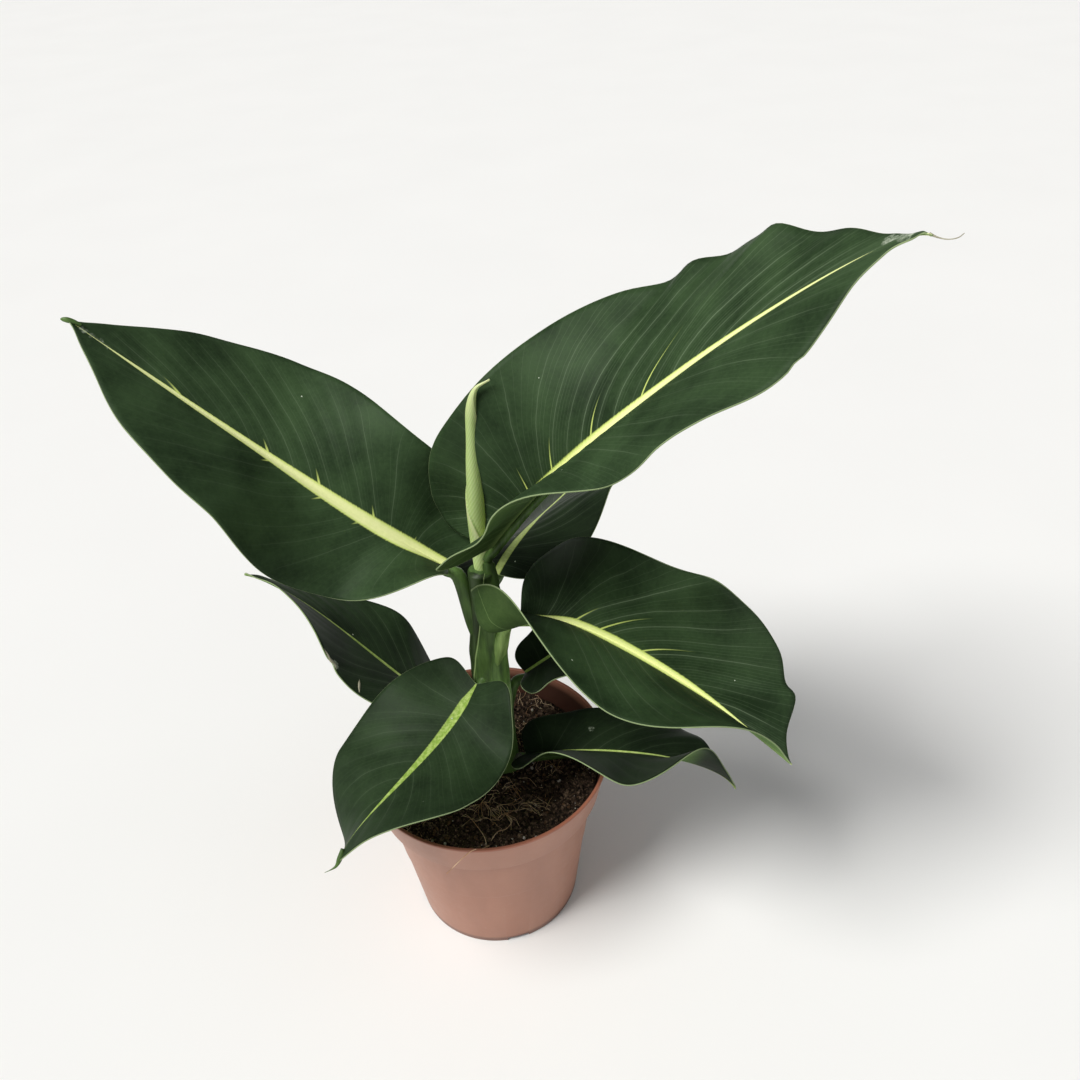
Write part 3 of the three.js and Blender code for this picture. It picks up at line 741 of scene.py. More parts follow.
def fibre_tree():
    """Coir fibres lying on a surface, in tangles: thin tubes, each bent by a noise of its own."""
    tree, given, add = new_tree("Fibres on a surface", {
        "Density": "NodeSocketFloat",
        "Length": "NodeSocketFloat",
        "Radius": "NodeSocketFloat",
        "Bend": "NodeSocketFloat",
        "Tangle Size": "NodeSocketFloat",
        "Seed": "NodeSocketInt",
        "Material": "NodeSocketMaterial",
    })
    place = add("GeometryNodeInputPosition")
    frequency = add("ShaderNodeMath", {0: 1.0, 1: given["Tangle Size"]}, operation="DIVIDE")
    patches = add("ShaderNodeTexNoise", {"Vector": place, "Scale": frequency, "Detail": 1.0})
    tangles = add("ShaderNodeMapRange", {"Value": patches, "From Min": 0.49, "From Max": 0.62})
    points = add("GeometryNodeDistributePointsOnFaces", {
        "Mesh": given["Geometry"],
        "Density Max": given["Density"],
        "Density Factor": tangles,
        "Distance Min": 0.0,
        "Seed": given["Seed"],
    }, distribute_method="POISSON")
    half = add("ShaderNodeMath", {0: given["Length"], 1: 0.5}, operation="MULTIPLY")
    start = add("ShaderNodeMath", {0: half, 1: -1.0}, operation="MULTIPLY")
    low = add("ShaderNodeCombineXYZ", {"X": start})
    high = add("ShaderNodeCombineXYZ", {"X": half})
    line = add("GeometryNodeCurvePrimitiveLine", {"Start": low, "End": high})
    stepped = add("GeometryNodeResampleCurve", {"Curve": line, "Count": 12})
    turn = add("FunctionNodeRandomValue", {
        "Min": (-0.25, -0.3, 0.0),
        "Max": (0.25, 0.3, math.tau),
        "Seed": given["Seed"],
    }, data_type="FLOAT_VECTOR")
    rotation = add("FunctionNodeEulerToRotation", {0: turn})
    size = add("FunctionNodeRandomValue", {2: 0.3, 3: 1.3, "Seed": given["Seed"]}, data_type="FLOAT")
    fibres = add("GeometryNodeInstanceOnPoints", {
        "Points": points.outputs["Points"],
        "Instance": stepped,
        "Rotation": rotation,
        "Scale": size,
    })
    real = add("GeometryNodeRealizeInstances", {"Geometry": fibres})
    bending = add("ShaderNodeTexNoise", {"Vector": place, "Scale": 125.0, "Detail": 1.0})
    # A fibre bends up more than down, because it lies on the soil.
    centred = add("ShaderNodeVectorMath", {
        0: bending.outputs["Color"],
        1: (0.5, 0.5, 0.38),
    }, operation="SUBTRACT")
    shift = add("ShaderNodeVectorMath", {0: centred, "Scale": given["Bend"]}, operation="SCALE")
    bent = add("GeometryNodeSetPosition", {"Geometry": real, "Offset": shift})
    ring = add("GeometryNodeCurvePrimitiveCircle", {"Resolution": 4, "Radius": given["Radius"]})
    tube = add("GeometryNodeCurveToMesh", {"Curve": bent, "Profile Curve": ring, "Fill Caps": True})
    end_tree(tree, tube, given["Material"])
    return tree


# Materials


def new_material(name, plain_inputs):
    """A material with one Principled shader, whose plain inputs are set on its own sockets.

    Returns the material, its shader, and the function that adds a node to it.
    """
    material = bpy.data.materials.new(name)
    material.use_nodes = True
    shader = material.node_tree.nodes["Principled BSDF"]
    fill_inputs(shader, plain_inputs)
    return material, shader, partial(add_node, material.node_tree)


def moulded_polypropylene(settings):
    """Terracotta polypropylene, injection moulded: satin, with faint flow bands and scuffs of dust, darker at
    the foot, with painted shade on the lip's top and on the inner wall.
    """
    material, shader, add = new_material("Injection moulded polypropylene", {"IOR": 1.49})
    place = add("ShaderNodeTexCoord").outputs["Object"]
    stretched = add("ShaderNodeMapping", {"Vector": place, "Scale": (1.0, 1.0, 0.25)})
    flow = add("ShaderNodeTexNoise", {"Vector": stretched, "Scale": 1 / (14 * MM), "Detail": 3.0})
    plastic = add("ShaderNodeMix", {
        "Factor": flow,
        6: settings.shade_colour,
        7: settings.colour,
    }, data_type="RGBA")
    dust = add("ShaderNodeTexNoise", {
        "Vector": place,
        "Scale": 1 / (4 * MM),
        "Detail": 6.0,
        "Roughness": 0.7,
    })
    dusty = add("ShaderNodeMapRange", {"Value": dust, "From Min": 0.6, "From Max": 1.2})
    dusted = add("ShaderNodeMix", {"Factor": dusty, 6: plastic, 7: "#bb9f8e"}, data_type="RGBA")
    # The lip's top is painted a darker red brown as shade on the rim, the foot ring is darker towards the
    # bottom, and the inner wall is painted dark brown as shade.
    parts = add("ShaderNodeSeparateXYZ", {0: place})
    # Painted shade: the top of the lip is mixed towards a darker red brown.
    lip = add("ShaderNodeMapRange", {
        "Value": parts.outputs["Z"],
        "From Min": settings.height - 1.3 * MM,
        "From Max": settings.height - 0.5 * MM,
        "To Max": 0.5,
    })
    lip_shaded = add("ShaderNodeMix", {"Factor": lip, 6: dusted, 7: settings.lip_shade_colour}, data_type="RGBA")
    # The foot ring is darker towards the bottom.
    foot = add("ShaderNodeMapRange", {
        "Value": parts.outputs["Z"],
        "From Min": 2.5 * MM,
        "From Max": 4.5 * MM,
        "To Min": 0.55,
        "To Max": 0.0,
    })
    # Painted shade on the inner wall, where the leaves shade it.
    inside = add("ShaderNodeAttribute", attribute_name="inside").outputs["Fac"]
    inside_shade = add("ShaderNodeMapRange", {"Value": inside, "From Max": 0.25, "To Max": 0.92})
    foot_darkening_and_inside_shade = add("ShaderNodeMath", {0: foot, 1: inside_shade}, operation="MAXIMUM")
    darkened_foot_and_shaded_inside = add("ShaderNodeMix", {"Factor": foot_darkening_and_inside_shade, 6: lip_shaded, 7: "#3a2018"}, data_type="RGBA")
    gloss = add("ShaderNodeMapRange", {"Value": dust, "To Min": 0.34, "To Max": 0.52})
    bump = add("ShaderNodeBump", {"Height": dust, "Strength": 0.05, "Distance": 0.2 * MM})
    fill_inputs(shader, {"Base Color": darkened_foot_and_shaded_inside, "Roughness": gloss, "Normal": bump})
    return material


def peat(name, dark, light):
    """Damp peat with bark dust, milled and mixed: near black, broken into brown grains, without gloss."""
    material, shader, add = new_material(name, {"Roughness": 0.95, "IOR": 1.4, "Specular IOR Level": 0.25})
    place = add("ShaderNodeTexCoord").outputs["Object"]
    grain = add("ShaderNodeTexNoise", {
        "Vector": place,
        "Scale": 1 / (1.6 * MM),
        "Detail": 5.0,
        "Roughness": 0.65,
    })
    share = add("ShaderNodeMapRange", {"Value": grain, "From Min": 0.4, "From Max": 0.68})
    mixed = add("ShaderNodeMix", {"Factor": share, 6: dark, 7: light}, data_type="RGBA")
    bump = add("ShaderNodeBump", {"Height": grain, "Strength": 0.9, "Distance": 0.8 * MM})
    fill_inputs(shader, {"Base Color": mixed, "Normal": bump})
    return material


def coir():
    """Coir fibre, torn from the husk: tan and dry, a little lighter and darker from strand to strand."""
    material, shader, add = new_material("Coir fibre", {"Roughness": 0.7, "IOR": 1.5})
    place = add("ShaderNodeTexCoord").outputs["Object"]
    strands = add("ShaderNodeTexNoise", {"Vector": place, "Scale": 1 / (9 * MM)})
    share = add("ShaderNodeMapRange", {"Value": strands, "From Min": 0.35, "From Max": 0.65})
    mixed = add("ShaderNodeMix", {"Factor": share, 6: "#b98c62", 7: "#ffdfb8"}, data_type="RGBA")
    fill_inputs(shader, {"Base Color": mixed})
    return material


def leaf_blade(settings):
    """Living leaf under a thin wax cuticle: dark satin green, a bright stripe along the midrib, paler veins.

    The blade's own attributes carry the pattern. vein counts the side veins and is the same all along one.
    reach and inset are the distances from the midrib and from the margin in mm, and climb is the share of the
    midrib. vein_room is the distance in mm between two side veins. stripe is the reach as a share of the
    stripe's half width. A pale streak reaches out as far as streak says, in mm, and streak_off is the
    distance from its middle as a share of its half width. mark is the strength of dry marks, and underside
    is 1 on the lower face. tone, veining and dulled differ from leaf to leaf.
    """
    material, shader, add = new_material("Waxy leaf blade", {"IOR": 1.42, "Specular IOR Level": 0.14})
    read = {}
    for label in ("vein", "reach", "inset", "climb", "vein_room", "stripe", "streak", "streak_off",
                  "underside", "mark", "tone", "veining", "dulled"):
        read[label] = add("ShaderNodeAttribute", attribute_name=label).outputs["Fac"]
    place = add("ShaderNodeTexCoord").outputs["Object"]

    patches = add("ShaderNodeTexNoise", {"Vector": place, "Scale": 1 / (24 * MM), "Detail": 3.0})
    tissue = add("ShaderNodeTexNoise", {
        "Vector": place,
        "Scale": 1 / (1.6 * MM),
        "Detail": 3.0,
        "Roughness": 0.6,
    })
    shade = add("ShaderNodeMath", {0: tissue, 1: 0.3}, operation="MULTIPLY")
    shade = add("ShaderNodeMath", {0: patches, 1: shade}, operation="ADD")
    share = add("ShaderNodeMapRange", {"Value": shade, "From Min": 0.45, "From Max": 0.85})
    green = add("ShaderNodeMix", {
        "Factor": share,
        6: settings.dark_green,
        7: settings.light_green,
    }, data_type="RGBA")
    # Each leaf's tone darkens its green: older leaves are darker, and the lower leaves are darker still as
    # painted shade under the upper ones.
    top = add("ShaderNodeVectorMath", {0: green, "Scale": read["tone"]}, operation="SCALE")

    # Side veins: one at each whole number, with finer ones between. A slow noise lets them wander a little.
    wander = add("ShaderNodeMath", {0: patches, 1: 0.25, 2: read["vein"]}, operation="MULTIPLY_ADD")
    lines = {}
    for label, per_vein, half_width in (("main", 1.0, 0.2), ("soft", 1.0, 1.3), ("fine", 5.0, 0.13)):
        scaled = add("ShaderNodeMath", {0: wander, 1: per_vein}, operation="MULTIPLY")
        number = add("ShaderNodeMath", {0: scaled}, operation="ROUND")
        apart = add("ShaderNodeMath", {0: scaled, 1: number}, operation="SUBTRACT")
        apart = add("ShaderNodeMath", {0: apart}, operation="ABSOLUTE")
        each = add("ShaderNodeMath", {0: read["vein_room"], 1: 1 / per_vein}, operation="MULTIPLY")
        distance = add("ShaderNodeMath", {0: apart, 1: each}, operation="MULTIPLY")
        lines[label] = add("ShaderNodeMapRange", {
            "Value": distance,
            "From Min": half_width * 0.2,
            "From Max": half_width * 1.3,
            "To Min": 1.0,
            "To Max": 0.0,
        }, interpolation_type="SMOOTHSTEP")
        draw = add("ShaderNodeTexWhiteNoise", {"W": number}, noise_dimensions="1D")
        if label == "main":
            strength = add("ShaderNodeMapRange", {"Value": draw, "To Min": 0.25, "To Max": 1.0})
        elif label == "fine":
            fine_strength = draw

    # Veins are plainest near the midrib, uneven along their way, and lost at the margin.
    fading = add("ShaderNodeMapRange", {
        "Value": read["inset"],
        "From Min": 1.0,
        "From Max": 14.0,
        "To Min": 0.15,
        "To Max": 1.0,
    })
    seen = add("ShaderNodeMath", {0: fading, 1: strength}, operation="MULTIPLY")
    main = add("ShaderNodeMath", {0: lines["main"], 1: 0.48}, operation="MULTIPLY")
    soft = add("ShaderNodeMath", {0: lines["soft"], 1: 0.07}, operation="MULTIPLY")
    both = add("ShaderNodeMath", {0: main, 1: soft}, operation="MAXIMUM")
    main = add("ShaderNodeMath", {0: both, 1: seen}, operation="MULTIPLY")
    fine = add("ShaderNodeMath", {0: lines["fine"], 1: fine_strength}, operation="MULTIPLY")
    fine = add("ShaderNodeMath", {0: fine, 1: 0.15}, operation="MULTIPLY")
    veins = add("ShaderNodeMath", {0: main, 1: fine}, operation="MAXIMUM")
    veins = add("ShaderNodeMath", {0: veins, 1: read["veining"]}, operation="MULTIPLY")
    veined = add("ShaderNodeMix", {"Factor": veins, 6: top, 7: settings.vein_colour}, data_type="RGBA")

    # The stripe: its edge a little feathered where veins run into it.
    along = add("ShaderNodeCombineXYZ", {"X": read["vein"], "Y": read["underside"]})
    feathers = add("ShaderNodeTexNoise", {"Vector": along, "Scale": 9.0, "Detail": 2.0})
    feather = add("ShaderNodeMapRange", {
        "Value": feathers,
        "From Min": 0.3,
        "From Max": 0.7,
        "To Min": 0.95,
        "To Max": 1.06,
    })
    edge = add("ShaderNodeMath", {0: read["stripe"], 1: feather}, operation="MULTIPLY")
    stripe = add("ShaderNodeMapRange", {
        "Value": edge,
        "From Min": 0.88,
        "From Max": 1.14,
        "To Min": 1.0,
        "To Max": 0.0,
    }, interpolation_type="SMOOTHSTEP")

    # A few side veins carry the stripe's colour outwards, broad at first and then to a hair's width.
    streak_reach = add("ShaderNodeMath", {0: read["streak"], 1: 1.5}, operation="MAXIMUM")
    streak_share = add("ShaderNodeMath", {0: read["reach"], 1: streak_reach}, operation="DIVIDE")
    narrowing = add("ShaderNodeMapRange", {"Value": streak_share, "To Min": 1.25, "To Max": 0.25})
    off = add("ShaderNodeMath", {0: read["streak_off"]}, operation="ABSOLUTE")
    in_streak = add("ShaderNodeMath", {0: off, 1: narrowing}, operation="DIVIDE")
    streak_side = add("ShaderNodeMapRange", {
        "Value": in_streak,
        "From Min": 0.4,
        "From Max": 1.0,
        "To Min": 1.0,
        "To Max": 0.0,
    }, interpolation_type="SMOOTHSTEP")
    streak_end = add("ShaderNodeMapRange", {
        "Value": streak_share,
        "From Min": 0.45,
        "From Max": 1.0,
        "To Min": 0.9,
        "To Max": 0.0,
    })
    listed = add("ShaderNodeMath", {0: read["streak"], 1: 1.0}, operation="GREATER_THAN")
    streak = add("ShaderNodeMath", {0: streak_side, 1: streak_end}, operation="MULTIPLY")
    streak = add("ShaderNodeMath", {0: streak, 1: listed}, operation="MULTIPLY")
    pale = add("ShaderNodeMath", {0: stripe, 1: streak}, operation="MAXIMUM")
    core = add("ShaderNodeMapRange", {"Value": edge, "From Min": 0.55, "From Max": 1.1})
    fibre = add("ShaderNodeMath", {0: tissue, 1: 0.5, 2: core}, operation="MULTIPLY_ADD")
    stripe_colour = add("ShaderNodeMix", {
        "Factor": fibre,
        6: settings.stripe_colour,
        7: settings.stripe_edge,
    }, data_type="RGBA")
    mottling = add("ShaderNodeMapRange", {"Value": tissue, "From Min": 0.4, "From Max": 0.65})
    mottled = add("ShaderNodeMix", {
        "Factor": mottling,
        6: settings.stripe_dulled,
        7: "#b3c873",
    }, data_type="RGBA")
    stripe_dulled = add("ShaderNodeMix", {
        "Factor": read["dulled"],
        6: stripe_colour,
        7: mottled,
    }, data_type="RGBA")
    striped = add("ShaderNodeMix", {"Factor": pale, 6: veined, 7: stripe_dulled}, data_type="RGBA")

    # The lower face is a paler grey green, with painted shade that darkens it towards the base, and a pale
    # band where the midrib stands out.
    lower_green = add("ShaderNodeMix", {
        "Factor": share,
        6: settings.lower_dark,
        7: settings.lower_light,
    }, data_type="RGBA")
    lower_shade_to_base = add("ShaderNodeMapRange", {
        "Value": read["climb"],
        "From Min": 0.1,
        "From Max": 0.6,
        "To Min": 0.38,
        "To Max": 1.0,
    })
    lower = add("ShaderNodeVectorMath", {0: lower_green, "Scale": lower_shade_to_base}, operation="SCALE")
    lower_veins = add("ShaderNodeMath", {0: lines["main"], 1: 0.3}, operation="MULTIPLY")
    lower_veined = add("ShaderNodeMix", {"Factor": lower_veins, 6: lower, 7: "#7f9a60"}, data_type="RGBA")
    near_rib = add("ShaderNodeMapRange", {
        "Value": read["reach"],
        "From Min": 1.0,
        "From Max": 4.0,
        "To Min": 0.4,
        "To Max": 0.0,
    })
    lower_ribbed = add("ShaderNodeMix", {"Factor": near_rib, 6: lower_veined, 7: "#93ad68"}, data_type="RGBA")
    faced = add("ShaderNodeMix", {"Factor": read["underside"], 6: striped, 7: lower_ribbed}, data_type="RGBA")

    # A thin gristly margin, widened on the lower face as painted highlight where light catches the rim,
    # specks of dust, and the dry white marks near some tips.
    gristle_and_highlight = add("ShaderNodeMath", {0: read["underside"], 1: 0.3, 2: 0.1}, operation="MULTIPLY_ADD")
    margin = add("ShaderNodeMapRange", {
        "Value": read["inset"],
        "From Min": 0.0,
        "From Max": gristle_and_highlight,
        "To Min": 0.7,
        "To Max": 0.0,
    })
    edged = add("ShaderNodeMix", {"Factor": margin, 6: faced, 7: settings.margin_and_highlight_colour}, data_type="RGBA")
    specks = add("ShaderNodeTexVoronoi", {"Vector": place, "Scale": 1 / (8 * MM)})
    rare = add("ShaderNodeTexWhiteNoise", {"Vector": specks.outputs["Position"]})
    rarely = add("ShaderNodeMath", {0: rare, 1: 0.72}, operation="GREATER_THAN")
    speck = add("ShaderNodeMath", {0: specks.outputs["Distance"], 1: 0.045}, operation="LESS_THAN")
    speck = add("ShaderNodeMath", {0: speck, 1: rarely}, operation="MULTIPLY")
    scale_marks = add("ShaderNodeTexNoise", {
        "Vector": place,
        "Scale": 1 / (1.3 * MM),
        "Detail": 5.0,
        "Roughness": 0.75,
    })
    broken = add("ShaderNodeMath", {0: read["mark"], 1: scale_marks}, operation="MULTIPLY")
    marked = add("ShaderNodeMapRange", {"Value": broken, "From Min": 0.36, "From Max": 0.6, "To Max": 0.85})
    white = add("ShaderNodeMath", {0: speck, 1: marked}, operation="MAXIMUM")
    whitened = add("ShaderNodeMix", {"Factor": white, 6: edged, 7: "#b9c4ae"}, data_type="RGBA")

    # Gloss: the wax is smoother on top. Relief: tissue cells, and veins that lie a little sunk.
    gloss = add("ShaderNodeMapRange", {
        "Value": tissue,
        "To Min": settings.roughness - 0.06,
        "To Max": settings.roughness + 0.06,
    })
    dull = add("ShaderNodeMath", {0: read["underside"], 1: 0.12, 2: gloss}, operation="MULTIPLY_ADD")
    relief = add("ShaderNodeMath", {0: veins, 1: -0.9, 2: tissue}, operation="MULTIPLY_ADD")
    bump = add("ShaderNodeBump", {"Height": relief, "Strength": 0.3, "Distance": 0.25 * MM})
    fill_inputs(shader, {"Base Color": whitened, "Roughness": dull, "Normal": bump})
    return material


def green_stalk(name, dark, light, sheathed=False):
    """Living stalk, grown: smooth waxy green with fine streaks and pale flecks lengthwise.

    On a sheathed one, the left sheath is painted darker as shade, with a thin pale edge, and the right one is
    paler.
    """
    material, shader, add = new_material(name, {
        "IOR": 1.45,
        "Roughness": 0.45,
        "Specular IOR Level": 0.3,
        "Subsurface Weight": 0.08,
        "Subsurface Scale": 2 * MM,
        "Subsurface Radius": (0.4, 1.0, 0.2),
    })
    place = add("ShaderNodeTexCoord").outputs["Object"]
    stretched = add("ShaderNodeMapping", {"Vector": place, "Scale": (1.0, 1.0, 0.1)})
    streaks = add("ShaderNodeTexNoise", {
        "Vector": stretched,
        "Scale": 1 / (2.5 * MM),
        "Detail": 4.0,
        "Roughness": 0.6,
    })
    broad = add("ShaderNodeTexNoise", {"Vector": place, "Scale": 1 / (16 * MM)})
    both = add("ShaderNodeMath", {0: streaks, 1: broad}, operation="ADD")
    share = add("ShaderNodeMapRange", {"Value": both, "From Min": 0.75, "From Max": 1.25})
    mixed = add("ShaderNodeMix", {"Factor": share, 6: dark, 7: light}, data_type="RGBA")
    skin = mixed
    if sheathed:
        # Painted shade: the left sheath is darkened to half; the right sheath is paler.
        left = add("ShaderNodeAttribute", attribute_name="left_sheath").outputs["Fac"]
        right = add("ShaderNodeAttribute", attribute_name="right_sheath").outputs["Fac"]
        on_left = add("ShaderNodeMapRange", {"Value": left, "From Min": 0.0, "From Max": 0.5})
        on_right = add("ShaderNodeMapRange", {
            "Value": right,
            "From Min": 0.0,
            "From Max": 1.5,
            "To Min": 1.0,
            "To Max": 1.9,
        })
        shade = add("ShaderNodeMath", {0: on_left, 1: -0.5, 2: on_right}, operation="MULTIPLY_ADD")
        skin = add("ShaderNodeVectorMath", {0: skin, "Scale": shade}, operation="SCALE")
        from_edge = add("ShaderNodeMath", {0: left}, operation="ABSOLUTE")
        edge = add("ShaderNodeMapRange", {
            "Value": from_edge,
            "From Min": 0.1,
            "From Max": 0.4,
            "To Min": 0.7,
            "To Max": 0.0,
        })
        skin = add("ShaderNodeMix", {"Factor": edge, 6: skin, 7: "#a9c07f"}, data_type="RGBA")
    bump = add("ShaderNodeBump", {"Height": streaks, "Strength": 0.25, "Distance": 0.3 * MM})
    fill_inputs(shader, {"Base Color": skin, "Normal": bump})
    return material


def dry_husk():
    """Withered petiole, dried on the plant: papery grey brown with lengthwise wrinkles."""
    material, shader, add = new_material("Withered petiole", {"Roughness": 0.85, "IOR": 1.45})
    place = add("ShaderNodeTexCoord").outputs["Object"]
    stretched = add("ShaderNodeMapping", {"Vector": place, "Scale": (1.0, 1.0, 0.15)})
    wrinkles = add("ShaderNodeTexNoise", {"Vector": stretched, "Scale": 1 / (1.5 * MM), "Detail": 4.0})
    mixed = add("ShaderNodeMix", {"Factor": wrinkles, 6: "#3b3a30", 7: "#77786a"}, data_type="RGBA")
    bump = add("ShaderNodeBump", {"Height": wrinkles, "Strength": 0.7, "Distance": 0.4 * MM})
    fill_inputs(shader, {"Base Color": mixed, "Normal": bump})
    return material


def dry_thread():
    """Dried drip tip, withered on the plant: a pale straw-coloured thread."""
    material, shader, add = new_material("Dried tip", {"Roughness": 0.8, "IOR": 1.45})
    place = add("ShaderNodeTexCoord").outputs["Object"]
    uneven = add("ShaderNodeTexNoise", {"Vector": place, "Scale": 1 / (3 * MM)})
    mixed = add("ShaderNodeMix", {"Factor": uneven, 6: "#6f6a4c", 7: "#c9c6b0"}, data_type="RGBA")
    fill_inputs(shader, {"Base Color": mixed})
    return material


def rolled_leaf(settings):
    """The rolled new leaf: soft pale green, with close slanting veins and a whitish outer edge."""
    material, shader, add = new_material("Unfurling leaf", {
        "IOR": 1.45,
        "Roughness": 0.45,
        "Subsurface Weight": 0.1,
        "Subsurface Scale": 2 * MM,
        "Subsurface Radius": (0.5, 1.0, 0.2),
    })
    wave = add("ShaderNodeAttribute", attribute_name="vein_wave")
    lap = add("ShaderNodeAttribute", attribute_name="lap").outputs["Fac"]
    climb = add("ShaderNodeAttribute", attribute_name="climb").outputs["Fac"]
    soft = add("ShaderNodeMath", {0: wave.outputs["Fac"], 1: 0.5}, operation="MULTIPLY")
    veined = add("ShaderNodeMix", {
        "Factor": soft,
        6: settings.rolled_colour,
        7: settings.rolled_vein,
    }, data_type="RGBA")
    edge = add("ShaderNodeMapRange", {"Value": lap, "From Min": 0.86, "From Max": 0.97})
    tip = add("ShaderNodeMapRange", {"Value": climb, "From Min": 0.8, "From Max": 0.97})
    light = add("ShaderNodeMath", {0: edge, 1: tip}, operation="MAXIMUM")
    edged = add("ShaderNodeMix", {"Factor": light, 6: veined, 7: "#d9e3a6"}, data_type="RGBA")
    bump = add("ShaderNodeBump", {"Height": wave.outputs["Fac"], "Strength": 0.2, "Distance": 0.15 * MM})
    fill_inputs(shader, {"Base Color": edged, "Normal": bump})
    return material


def painted_floor(settings):
    """A sheet of matt white card, cut and laid flat: almost even, with the faintest tooth."""
    material, shader, add = new_material("Matt white card", {"Roughness": 0.8})
    place = add("ShaderNodeTexCoord").outputs["Object"]
    tooth = add("ShaderNodeTexNoise", {"Vector": place, "Scale": 6.0, "Detail": 2.0})
    mixed = add("ShaderNodeMix", {"Factor": tooth, 6: settings.floor_colour, 7: "#f4f4f2"}, data_type="RGBA")
    fill_inputs(shader, {"Base Color": mixed})
    return material


# The leaves' surface


def distance_to_line(x, y, line_x, line_y):
    """How far each point of a grid is from a line of points."""
    nearest = np.full(x.shape, np.inf)
    for k in range(len(line_x) - 1):
        step_x, step_y = line_x[k + 1] - line_x[k], line_y[k + 1] - line_y[k]
        span = step_x * step_x + step_y * step_y
        share = np.clip(((x - line_x[k]) * step_x + (y - line_y[k]) * step_y) / max(span, 1e-12), 0, 1)
        off_x, off_y = x - line_x[k] - share * step_x, y - line_y[k] - share * step_y
        nearest = np.minimum(nearest, np.hypot(off_x, off_y))
    return nearest


class LeafShape:
    """A leaf's surface, from the same sizes as its solid. Places are in mm, in the frame of all pieces."""

    def __init__(self, dims):
        self.dims = dims
        turn = math.radians(dims["heading"])
        self.outward = np.array([math.cos(turn), math.sin(turn), 0.0])
        self.leftward = np.array([-math.sin(turn), math.cos(turn), 0.0])
        shift = [0.0, 0.0, -dims["sideways"] / 3, -dims["sideways"]]
        self.controls = np.array([
            reach * self.outward + side * self.leftward + height * UP + np.array([STEM_X, 0.0, 0.0])
            for (reach, height), side in zip(dims["rib"], shift)
        ])
        self.steps = np.linspace(0, 1, TABLE_STEPS)
        travel = np.linalg.norm(np.diff(self.rib_points(self.steps), axis=0), axis=1)
        self.travelled = np.concatenate([[0.0], np.cumsum(travel)])
        self.length = self.travelled[-1]

    def rib_points(self, t):
        """Points of the midrib's Bezier curve."""
        t = np.asarray(t)[..., None]
        a, b, c, d = self.controls
        return (1 - t) ** 3 * a + 3 * (1 - t) ** 2 * t * b + 3 * (1 - t) * t ** 2 * c + t ** 3 * d

    def rib_slopes(self, t):
        """The curve's directions, of any length."""
        t = np.asarray(t)[..., None]
        a, b, c, d = self.controls
        return (1 - t) ** 2 * (b - a) + 2 * (1 - t) * t * (c - b) + t ** 2 * (d - c)

    def frame(self, distance):
        """The midrib's place, direction, sideways direction (to the right) and upward direction."""
        distance = np.asarray(distance, float)
        t = np.interp(distance, self.travelled, self.steps)
        forward = normalised(self.rib_slopes(t))
        place = self.rib_points(t) + forward * np.minimum(distance, 0)[..., None]
        level = normalised(np.cross(forward, UP))
        up = np.cross(level, forward)
        roll = np.radians(blend(self.dims["roll"], ROLL_STATIONS, distance / self.length))[..., None]
        right = level * np.cos(roll) + up * np.sin(roll)
        return place, forward, right, up * np.cos(roll) - level * np.sin(roll)

    def half(self, row, out, side):
        """Points of one half: row is 0 to 1 from base to tip, out 0 to 1 from midrib to margin, side -1 left.

        Returns the points and, in mm, how far each is along the midrib, out from it, and in from the margin.
        """
        half = self.dims["left" if side < 0 else "right"]
        round_in = np.clip(np.sin(np.pi * row), 0, 1)
        taper = OUTLINE["round"] + (self.dims["point"] - OUTLINE["round"]) * smoothstep(row, 0, 1)
        margin = half["width"] * round_in ** taper
        for place, share, spread in half.get("nicks", []):
            margin = margin * (1 - share * np.exp(-((row - place) / spread) ** 2))
        lobe_round = np.clip(np.sin(np.pi * np.minimum(row / OUTLINE["lobe_end"], 1)), 0, 1)
        run_back = half["lobe"] * lobe_round ** OUTLINE["lobe_shape"]
        margin_along = self.length * (1 - np.cos(np.pi * row)) / 2 - run_back
        spread = OUTLINE["vein_spread"]
        vein_root = self.length * (row * row * (1 - spread) + row * spread)
        along = vein_root + (margin_along - vein_root) * out ** OUTLINE["vein_arch"]
        reach = margin * out
        angle = np.radians(blend(half["lift"], LIFT_STATIONS, along / self.length))
        curl = math.radians(half["curl"])
        bend = curl * reach / half["width"]
        radius = half["width"] / curl
        x = (np.sin(angle + bend) - np.sin(angle)) * radius
        z = (np.cos(angle) - np.cos(angle + bend)) * radius
        for place, height, spread in half.get("waves", []):
            z = z + height * np.exp(-((row - place) / spread) ** 2) * out * out
        for place, depth, spread in half.get("cups", []):
            sag = depth * np.exp(-((row - place) / spread) ** 2) * np.sin(np.pi * out * out)
            x = x + sag * np.sin(angle + bend)
            z = z - sag * np.cos(angle + bend)
        place, _, right, up = self.frame(along)
        inset = distance_to_line(along, reach, margin_along[:, 0], margin[:, 0])
        return place + right * (side * x)[..., None] + up * z[..., None], along, reach, inset


def vein_rows(row, out, lean):
    """The row at which the vein through each point leaves the midrib. Veins lean towards the tip."""
    roots = np.linspace(0, 1, TABLE_STEPS)
    lean = lean * smoothstep(roots, 0, VEINS["sets_in"]) * smoothstep(1 - roots, 0, VEINS["ends"])
    columns = [
        np.interp(row[:, k], roots + lean * (1 - (1 - out[0, k]) ** 2), roots)
        for k in range(row.shape[1])
    ]
    return np.stack(columns, axis=1)


